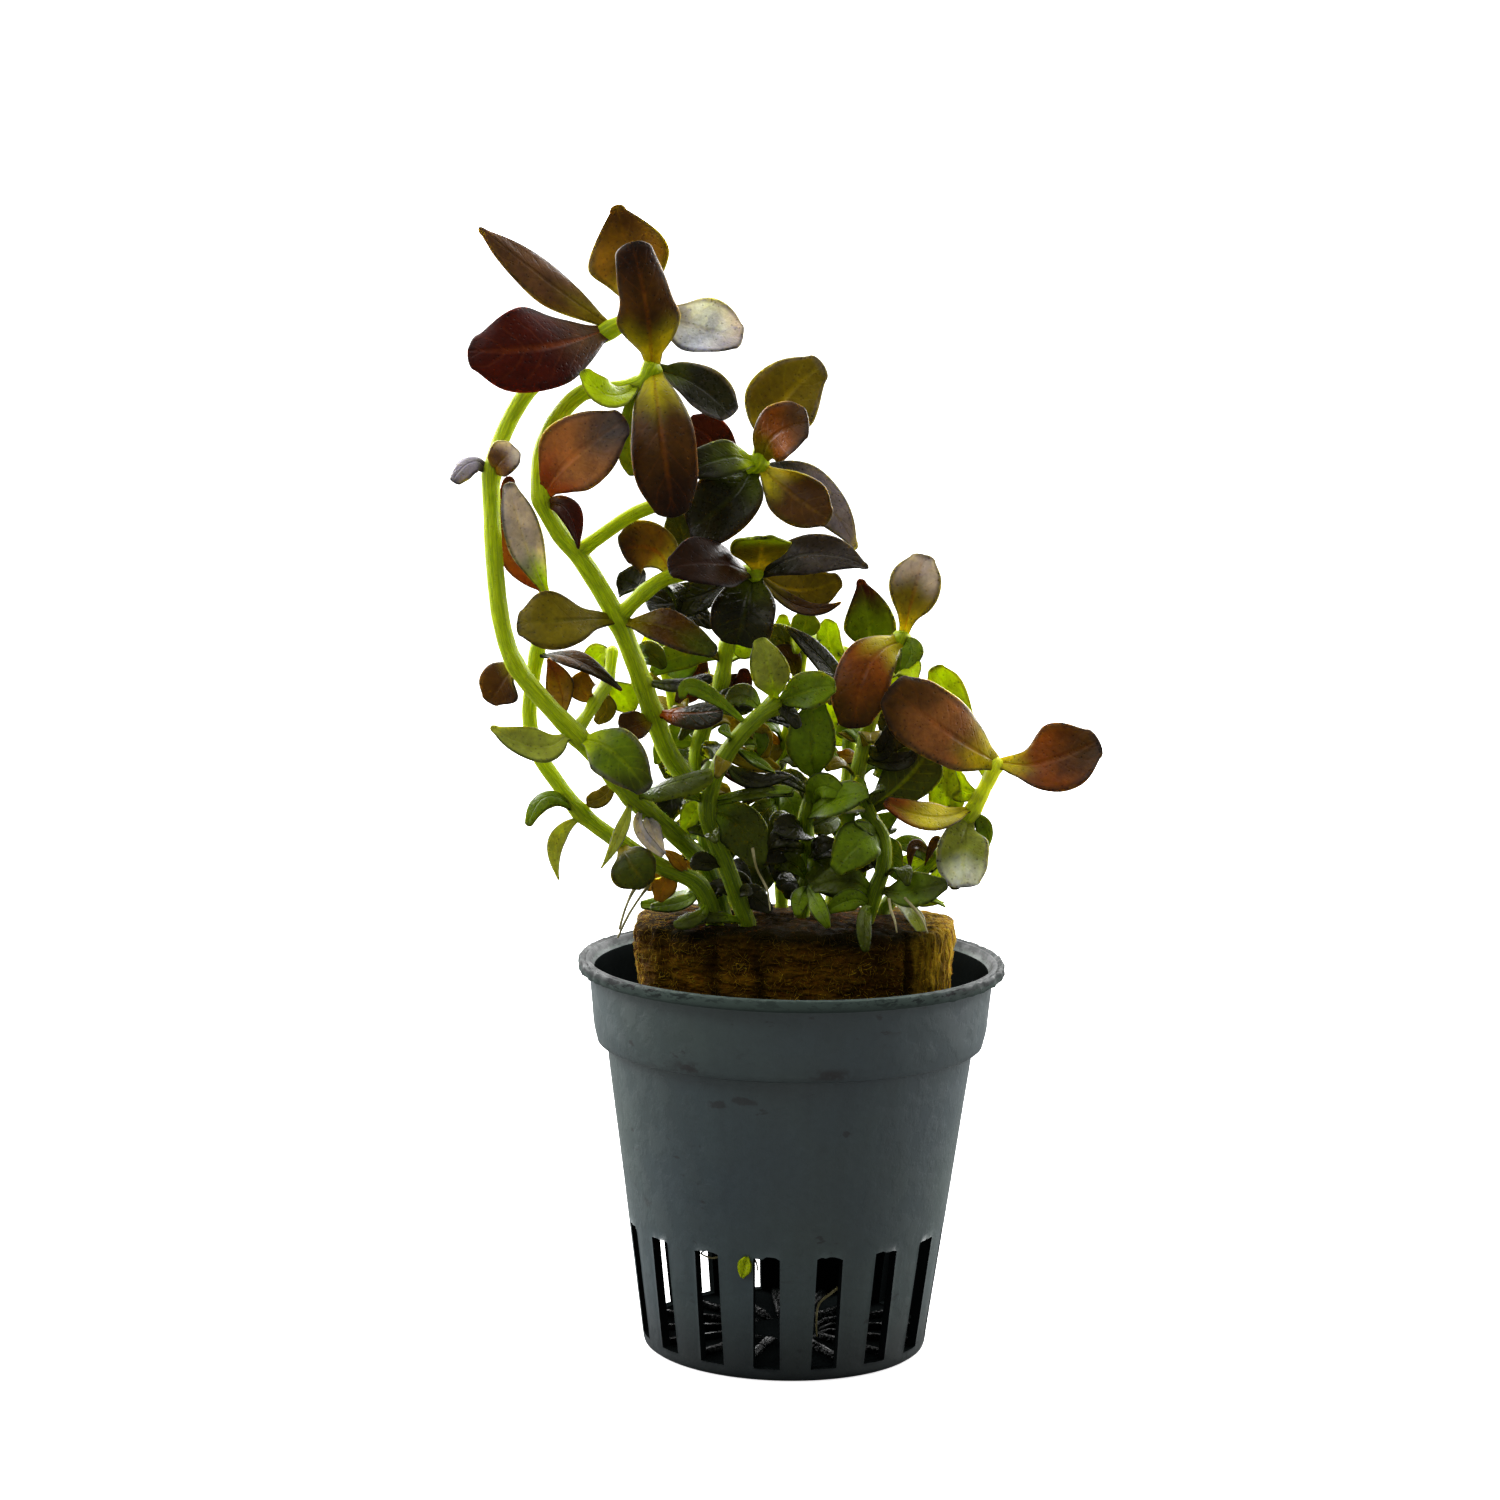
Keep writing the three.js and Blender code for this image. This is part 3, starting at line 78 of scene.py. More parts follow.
# Each stem: name and radius at the foot and at the tip, [across, back] of its foot on the plug, or
# nothing for a fork, and the places that it passes as across, up and back
STEM_ROWS = '''
stem_left 1.25 1.1, -8.8 -3.4, -10.8 61 -5, -15.5 66 -7.5, -20.6 70.3 -9, -24.5 74.6 -10, -27.6 78 -10.5,
  -31.5 82 -10.5, -35.3 86.7 -9.5, -37 91.5 -8.5, -38.1 100 -7, -38.5 107 -5.5, -38.5 110.6 -5,
  -37.2 115.3 -3.5, -34 121 -1.5, -29 125.2 1, -24.2 128.6 -0.5, -19.8 130.9 1;
stem_far_left 1.15 0.95, -9.6 -8.4, -12 59.2 -9, -16.6 61.4 -9, -22.5 64.8 -8, -27 68.2 -7, -30 72 -6,
  -32.6 76 -5, -33.5 80 -4, -33.3 84 -3.5, -32.7 88 -3, -31.4 95.3 -3;
stem_main 1.4 1.1, -10 1.5, -10.4 62 0, -11.5 68 -1, -13.6 72.5 -2, -16 76 -3, -18 81 -4, -20.2 87 -5,
  -22.4 92.3 -6, -24.6 96.2 -6, -27.3 100.3 -6, -30 103.5 -6, -32.2 107.8 -6, -32.3 113 -5,
  -30.3 117.8 -4, -27 121 -3, -23 121.4 -2.5, -19.9 122.2 -2.5, -18.6 124.2 -2.5;
shoot_high 0.95 0.9, , -25.8 102.4 -5.6, -21 105.8 -4, -18.5 106.9 -3, -13 108.6 0, -8.5 110.4 1,
  -5.4 112.4 1, -4.9 114.8 1;
branch_middle 1 0.9, , -20.9 94.6 -6.3, -19 96.4 -6.4, -16.8 97.9 -6, -13 98.8 -3.4, -9 98.9 -1.5,
  -5.2 98.6 -1;
stem_centre 1.15 1.05, -5.6 -8, -8.6 62 -9, -10.8 67.5 -9.2, -10.6 71.5 -9.2, -8.3 76.6 -9, -5 80.5 -9,
  -2.6 82.4 -8.5;
stem_centre_tall 1.1 1, -6.6 3, -8.8 63 3, -11.2 70 2.5, -12.4 75 2, -11.3 80 1.5, -9.6 84.5 1,
  -8.8 90 1.5;
shoot_left_low 0.8 0.75, , -26.2 80.6 -8.4, -25.2 82.4 -6.5, -23.7 85 -3.5, -23.2 88.6 -2;
stem_right 1 0.85, 11.5 3, 14 59.4 4, 17.5 62.8 4, 20.2 66 3, 22.4 69.2 2, 23.9 72.2 1, 25.4 75.4 0;
stem_right_tall 1 0.95, 9.2 -6, 10.4 58.8 -6.5, 11.4 62 -6, 11.2 65.4 -5, 9.2 69 -3.5, 7.9 72.8 -2.5,
  8.4 76.5 -1.5, 9.2 80 -1, 11 86 0.5, 13.2 91.2 1;
stem_back_middle 0.85 0.75, -1.4 8, -2 66 8.5, -1.9 74 9, -0.9 79.5 9, 0.2 86 9, 0.8 90.6 9;
stem_back_right 0.85 0.75, 5 9, 5.8 66 9.5, 6.6 74 10, 6.9 80 10, 8 85 9.5, 8.8 88.4 9;
stem_back_left 0.9 0.75, -7.6 9, -10.6 64 10, -12.6 71 10, -14.4 78 10, -15.8 84 9.5, -17 88 9;
stem_middle_right 1 0.9, 1.2 -1, 2 62 -2, 1.5 68 -3, 2.6 72.6 -4
'''

# Each leaf: name and stem, where it leaves the stem, where it bends, its tip, its width and outline,
# the way it faces, how much its edges lift, and its colours at base, middle, tip, rim and rib, which
# are tissue and, for some words, painted sheen
LEAF_ROWS = '''
spear stem_left, -23.7 128.9, -33 135.4 -2, -40.3 141 -4, 5.2 spear, 0 -0.85 0.5, -0.3,
  olive bark bark slate umber;
wine stem_left, -24.4 128.5, -33 126.3 -8.5, -41.6 125.8 -10, 11 oval, 0 -0.95 0.3, -0.12,
  umber wine wine maroon ember;
diamond stem_left, -19.8 130.9, -21.6 137.4 4.5, -23.4 144.1 5, 10.4 rhomb, 0 -1 0.1, 0.1,
  yellow amber umber olive amber;
cream stem_left, -19.8 130.9, -12.4 128.9 -1, -7.5 127.9 -2, 8.6 oval, 0.1 -0.8 0.6, 0.25,
  olive cream silver umber silver;
bottle stem_main, -18.6 124.2, -19.6 132 -8, -21.4 139.6 -8, 7.8 bottle, 0 -0.95 0.2, -0.4,
  yellow umber dusk slate rust;
hanging stem_main, -18.6 124.2, -17.3 115.4 -9.6, -15.7 105.6 -9, 8 tongue, 0 -1 0.1, -0.2,
  yellow umber dusk purple rust;
dark_top stem_main, -18.6 124.2, -12.7 121.8 -2.2, -8.8 118.3 -2.6, 6.2 tongue, 0.2 -0.8 0.6, 0.15,
  moss ink ink silver ink;
rust stem_main, -32.2 108.1, -28 113.2 -10.5, -21.8 117.6 -11, 9.2 oval, 0 -0.95 0.25, 0.12,
  ember copper slate wine copper;
silver stem_far_left, -31.4 95.3, -34.4 102.8 -5.5, -36.4 109.6 -6.5, 4.6 oval, 0.1 -0.95 0.2, 0.15,
  lime silver silver slate silver;
ember stem_far_left, -31.4 95.3, -35.7 101.8 -2.5, -36.2 110.4 -2, 4.4 oval, -0.2 -0.95 0.2, 0.1,
  ember rust wine wine ember;
olive_top shoot_high, -4.9 114.8, -2.6 120.3 3, 2.6 125 3, 9.2 oval, 0 -1 0.1, 0.12,
  yellow olive olive silver yellow;
brown_top shoot_high, -5.2 113, -2.9 116.3 -3.4, 0.9 117.7 -5, 7.2 tongue, 0 -0.9 0.4, 0.15,
  olive rust umber slate umber;
brown_low shoot_high, -5.2 112.4, -0.4 108.2 -2.4, 3.8 105.7 -3.6, 7 oval, 0 -0.9 0.4, 0.1,
  yellow umber umber olive amber;
slate shoot_high, -5.4 112.4, 2.2 108.6 5, 7.1 102 5, 6 spear, 0 -0.9 0.4, 0.1, ink dove dove slate ink;
dark_fan shoot_high, -5.2 112.9, -9.6 113 -2.5, -13.7 111.4 -4, 5.6 tongue, 0 -0.8 0.6, 0.1,
  lime moss ink moss leaf;
dark_low shoot_high, -5.9 111.9, -9.3 107.5 -3.4, -13.7 104.2 -1.8, 8.4 tongue, 0 -0.9 0.4, 0.15,
  moss ink ink umber moss;
wine_small branch_middle, -5.9 98.9, -10.8 100 -8.9, -16.4 99.2 -11.2, 7.2 oval, 0 -0.85 0.5, 0.1,
  maroon dusk dusk maroon maroon;
lime branch_middle, -5.2 98.6, -4.7 102 -5, -4.5 103.4 -9.6, 7.6 oval, 0 -0.3 0.95, 0.05,
  yellow olive lime lime yellow;
slate_right branch_middle, -5.2 98.6, 2 101.3 -2.4, 8.7 99.7 -4, 6.2 spear, 0 -0.8 0.6, 0.1,
  ink stone stone slate ink;
olive_right branch_middle, -5.2 98.6, 0.4 96.8 1.5, 5.3 98.4 2, 5.6 oval, 0 -1 0.2, 0.1,
  olive olive olive umber yellow;
glossy_down branch_middle, -5.4 98.5, -6.7 93.8 -6.5, -7.4 89.8 -6.5, 8 tongue, 0 -0.95 0.3, 0.25,
  moss ink ink purple moss;
black_left branch_middle, -6.6 98.6, -13.4 95.4 0.5, -19 94.6 -1, 5 tongue, 0 -0.8 0.6, 0.1,
  ink ink ink moss ink;
crumpled branch_middle, -15.5 98.4, -18.6 101.7 -3, -22.3 101.3 -3.5, 6.6 tongue, 0 -0.95 0.2, 0.1,
  yellow amber umber slate ember;
black_curl branch_middle, -19 96.4, -20.9 97.2 -3, -22.8 97.8 -2.6, 4.8 oval, 0 -0.9 0.4, 0.2,
  ink ink ink moss ink;
olive_left stem_main, -22.6 92.8, -29.2 92.4 -13, -35.2 91.8 -14, 7.6 spoon, 0 -0.9 0.45, 0.1,
  olive olive olive umber moss;
striped stem_main, -22.4 92.3, -16.2 91.6 -9, -10.2 88.6 -9.5, 5.2 oval, 0 -0.75 0.65, 0.1,
  olive umber moss slate olive;
brown_point stem_far_left, -32.7 88, -27.4 87.3 -8, -21.9 83.7 -9, 3.2 spear, 0.2 -0.6 0.75, 0.1,
  ink umber ink umber umber;
amber stem_left, -28.9 79.4, -29.7 84.2 -7, -31.3 87.6 -8.2, 3.6 rhomb, 0 -1 0.1, 0.1,
  amber amber rust umber rust;
pale_point stem_left, -27.6 78, -33 76.4 -13.5, -38.4 78.9 -13.5, 5.4 spear, 0 -0.7 0.7, 0.2,
  pale pale pale leaf pale;
green_broad stem_left, -27.6 78, -22.8 75.7 -13.5, -18.6 71 -13.5, 6.8 oval, 0 -0.85 0.5, 0.1,
  lime leaf moss silver lime;
green_curl stem_left, -20.6 70.3, -15.4 72 -12, -10.4 73.5 -12.5, 4 tongue, 0 -0.6 0.8, -0.4,
  leaf moss moss lime leaf;
round_olive stem_far_left, -21.8 64.4, -20.6 61.8 -12.5, -18.4 59 -12.5, 6 spoon, 0 -1 0.1, 0.1,
  olive moss moss umber olive;
red_broad stem_right, 25.4 75.4, 18.6 79.6 -5, 11.6 84.8 -6, 8.8 tongue, 0 -0.95 0.3, -0.1,
  yellow copper umber slate rust;
right_tip stem_right, 25.4 75.4, 31.6 75.7 -3, 38.2 78.6 -4, 8.8 spoon, 0 -0.9 0.4, 0.1,
  yellow rust umber slate rust;
orange_low stem_right, 22.6 69.6, 16.8 68.4 -3.5, 11.3 70.3 -5, 4.2 oval, 0 -0.8 0.6, 0.15,
  yellow yellow rust ember yellow;
pale_hanging stem_right, 21.9 68.4, 21.4 64.3 -1.6, 21.8 59.5 -2.2, 6.6 tongue, 0 -1 0.1, 0.15,
  pale pale cream cream pale;
green_square stem_right_tall, 9.2 69, 14.4 73.6 -1, 16.6 77 -1, 6.6 tongue, 0 -1 0.1, 0.1,
  moss moss moss leaf lime;
high_right stem_right_tall, 13.2 91.2, 14.3 96.2 0, 15.6 101.6 1, 6.6 spoon, 0 -0.95 0.3, 0.15,
  yellow olive silver slate rust;
brown_bend stem_right_tall, 13.2 91.2, 8.6 86.8 -4.5, 7.4 79.5 -5, 7.2 tongue, 0 -0.9 0.4, -0.1,
  yellow rust umber umber rust;
green_low_right stem_right_tall, 10.4 58.8, 15 58.9 -8, 19.6 60 -8, 4.6 oval, 0 -0.85 0.5, 0.1,
  moss leaf moss leaf leaf;
dark_tip stem_back_right, 8.8 88.4, 9 93 7.5, 7.6 98.4 7, 6.8 spear, 0 -1 0.1, 0.15,
  leaf leaf maroon maroon leaf;
green_middle stem_middle_right, 2.6 72.6, 2 77.4 -8, 2.6 83 -7.5, 6.2 oval, 0 -1 0.1, 0.1,
  leaf leaf leaf moss moss;
pale_upright stem_centre, -2.6 82.4, -3.4 86.4 -11.5, -4.8 90.7 -11.5, 4.8 oval, 0 -0.95 0.3, 0.15,
  lime pale pale lime lime;
gloss_brown stem_main, -18 81, -13 80.9 -7.5, -9.2 81.3 -8.5, 4.2 tongue, 0 -0.7 0.7, -0.2,
  ember ink ink umber ember
'''

# Small leaves that their stem is thicker at: the stem, and on as for a leaf
LEAFLET_ROWS = '''
stem_left, -38.5 110.7, -41 112 -6.3, -43.4 109.5 -6.8, 3.3 tongue, 0 -0.6 0.8, -0.3,
  slate dove dove slate slate;
stem_left, -38.4 110.9, -37.2 112.4 -7.5, -35.6 114 -7.5, 4.2 tongue, 0 -0.95 0.2, 0.15,
  amber bark silver slate umber;
stem_left, -35.3 86.7, -37 84.4 -6.5, -38.6 81.8 -6, 5.8 oval, 0 -0.9 0.4, 0.1, brown;
stem_left, -20.6 70.3, -22 65.4 -12.5, -24.3 61 -12.5, 1.7 spear, 0 -1 0.1, 0.1, all_pale;
stem_left, -18.5 68.8, -17.8 65.8 -10.5, -16.2 63 -11, 2.4 spear, 0.3 -0.9 0.2, 0.1, all_silver;
stem_left, -22.6 72.4, -24.2 70.2 -7.5, -26.3 69.5 -7, 2.4 tongue, 0 -0.9 0.4, 0.1, all_olive;
stem_main, -20.4 122.1, -24 120.6 -7.5, -27.3 123.7 -8, 4.2 oval, 0 -0.8 0.6, 0.2, all_lime;
stem_main, -20.6 121.8, -21.4 115.5 -6, -20.6 110.8 -6, 3 tongue, 0 -1 0.1, 0.1, green;
stem_main, -32 107.4, -28.9 106 -8.5, -27.6 101.4 -9, 3.4 spear, 0.5 -0.8 0.2, 0.2, dark_wine;
stem_far_left, -27 68.2, -31.3 69.9 -8.5, -33.6 66.2 -9, 3 oval, 0 -0.6 0.8, -0.2, green;
stem_far_left, -26.6 67.8, -30 64.2 -7, -29.6 59.4 -7, 2.2 spear, 0 -1 0.1, 0.1, all_pale;
stem_far_left, -12 59.2, -15.6 57 -6, -19.3 56.4 -6, 2.4 tongue, 0 -0.6 0.8, 0.1, green;
stem_far_left, -10 57.4, -12.2 55 -12.6, -15 54.1 -13, 2.2 tongue, 0 -0.7 0.7, -0.2, dark_green;
stem_main, -17.8 80.2, -20.3 79.4 -6.5, -22 78.6 -7, 4 tongue, 0 -0.9 0.4, 0.1, brown;
stem_main, -19.4 84.6, -14 84.8 -6, -10.7 85.7 -6, 2.4 tongue, 0 -0.7 0.7, -0.3, black;
stem_main, -13.2 71.8, -16 69.6 -4.5, -17.4 65.6 -5, 3.4 oval, 0 -1 0.1, 0.1, black;
shoot_left_low, -25.4 82, -26.9 84 -6.6, -26.5 86.3 -5.6, 3.8 rhomb, 0 -1 0.1, 0.1, all_amber;
shoot_left_low, -24.4 83.8, -23.9 81.5 -3.4, -25.2 79.6 -2.6, 2.8 oval, 0 -1 0.1, 0.1, all_olive;
shoot_left_low, -23.2 88.6, -25 88 0, -26.2 86 0.5, 3.4 oval, 0 -1 0.1, 0.1, all_lime;
shoot_left_low, -23.7 85, -21.8 83 -1, -20.6 81 -0.5, 4 oval, 0 -1 0.1, 0.1, all_lime;
shoot_high, -9 110.2, -10.8 115 3, -14.2 117.2 3, 5.2 tongue, 0 -0.9 0.3, 0.1, dark_wine;
branch_middle, -13 98.8, -14.8 103.4 -1, -16 106.2 -1, 4 oval, 0 -1 0.1, 0.1, dark_green;
branch_middle, -5.2 98.6, 0.6 94.6 -1, 5.4 95.4 -1, 2.4 spear, 0 -0.7 0.7, 0.1, brown;
stem_centre, -2.8 82.2, -1.2 81.6 -9.5, 0.4 79.4 -10, 2.2 tongue, 0 -0.6 0.8, 0.1, black;
stem_centre, -9.2 75.2, -5.4 72.7 -8.5, -0.3 73.2 -9, 2.6 spear, 0 -0.7 0.7, 0.1, black;
stem_centre, -10.8 70, -4 71.3 -9, -0.2 71.3 -9.5, 1.6 tongue, 0 -0.7 0.7, 0.1, green;
stem_centre, -10.9 69, -6.8 66.6 -9, -4.4 61.6 -9, 6 oval, 0 -0.95 0.3, 0.1, dark_green;
stem_centre_tall, -11.9 77.4, -6 75.4 0, -2 74 0, 2.8 oval, 0 -0.9 0.4, 0.1, all_olive;
stem_centre_tall, -10.8 81.4, -7.6 82.4 -1, -5.2 82.3 -1.5, 3.2 tongue, 0 -1 0.1, 0.1, dark_green;
stem_centre_tall, -8.8 90, -6.6 89.5 2, -5 91.4 2, 3 oval, 0 -1 0.1, 0.1, all_lime;
stem_centre_tall, -9.4 85.4, -7.6 84.9 3, -6 83.4 3.5, 2.6 spear, 0 -1 0.1, 0.1, dark_wine;
stem_back_middle, -1.5 77, -4.1 77.5 8, -6 75.6 8, 3.4 oval, 0 -1 0.1, 0.1, all_amber;
stem_centre, -2.7 82.3, 1.4 84.2 -9.5, 4.9 84.8 -9, 5 oval, 0 -0.9 0.4, 0.1, green;
stem_back_middle, 0.8 90.6, 0.9 92.2 8, 1.2 94 8, 3.8 tongue, 0 -1 0.1, 0.1, green;
stem_back_middle, 0.2 86, -1.6 89.6 10.5, -1.8 93.8 11, 3.4 oval, 0 -1 0.1, 0.1, all_lime;
stem_back_right, 7.4 83, 3 88.2 3.5, -1.7 92.3 2.5, 3.4 spear, 0.3 -0.8 0.5, 0.1, black;
stem_back_right, 7.6 83.6, 4.3 89.4 11, 4.2 93.2 11.5, 3.2 tongue, 0 -1 0.1, 0.1, all_lime;
stem_back_right, 6.8 77, 4.4 79.4 12, 4.3 83.4 12.5, 3 oval, 0 -1 0.1, 0.1, all_lime;
stem_back_left, -16.6 86.8, -16 89 7.5, -13.7 90 7, 3.6 tongue, 0 -1 0.1, 0.1, green;
stem_back_left, -15.3 82, -13.2 84.5 7, -11.6 87.8 7, 3.4 oval, 0 -1 0.1, 0.1, dark_wine;
stem_back_left, -10.2 63, -14.6 61.2 7, -18.6 58.4 6, 3 oval, 0 -0.9 0.4, 0.1, all_amber;
stem_middle_right, 1.5 68, 5.4 70.4 -7.5, 9.4 71.3 -8.5, 4.6 oval, 0 -0.8 0.6, 0.1, green;
stem_middle_right, 1.8 65, 0.4 66.6 -8, -2.6 66.8 -9, 3.8 tongue, 0 -0.8 0.6, 0.15, black;
stem_middle_right, 1.8 63.4, 4.6 61.2 -6, 6.8 57.8 -6.5, 6 oval, 0 -0.9 0.4, 0.1, dark_green;
stem_middle_right, 1.6 59, 1 57.6 -9, 0.6 55.4 -11, 2.4 oval, 0 -1 0.1, 0.1, green;
stem_middle_right, 1.7 59.4, 3.2 56.8 -11.5, 4.6 53.9 -13.5, 2.2 oval, 0 -1 0.1, 0.1, green;
stem_right_tall, 11.2 66.6, 8.4 65 -8.5, 5.2 61.2 -9.5, 5.8 oval, 0 -0.95 0.3, 0.1, green;
stem_right_tall, 9.6 57, 9.1 55 -13.5, 9.4 50.9 -16, 1.9 tongue, 0 -1 0.1, 0.1, dark_green;
stem_right_tall, 13.2 91.2, 14.3 89.2 -1.5, 12.8 86.3 -2, 3 spear, 0 -1 0.1, 0.1, green;
stem_right_tall, 10.2 83.4, 12.9 78.8 1.5, 15.4 76.2 1.5, 4.2 tongue, 0 -0.95 0.2, 0.2, black;
stem_right, 18.3 63.8, 14.2 62.2 2, 12.2 60.8 1, 2.4 oval, 0 -1 0.1, 0.1, all_lime;
stem_right, 23.4 71.4, 20.3 72.4 3.5, 19 75 4, 3.6 tongue, 0 -1 0.1, 0.1, all_lime;
stem_right, 22.6 69.4, 24.1 67 2, 24.6 64.7 2, 2.2 spear, 0 -1 0.1, 0.1, green;
stem_right, 13.6 58.8, 16.1 57.8 7, 19.2 57.5 7, 2 spear, 0 -0.9 0.4, 0.1, green;
stem_right, 24.4 73.4, 20 82 5.5, 17.2 87.6 6, 4.8 spoon, 0 -1 0.1, 0.1, all_lime
'''

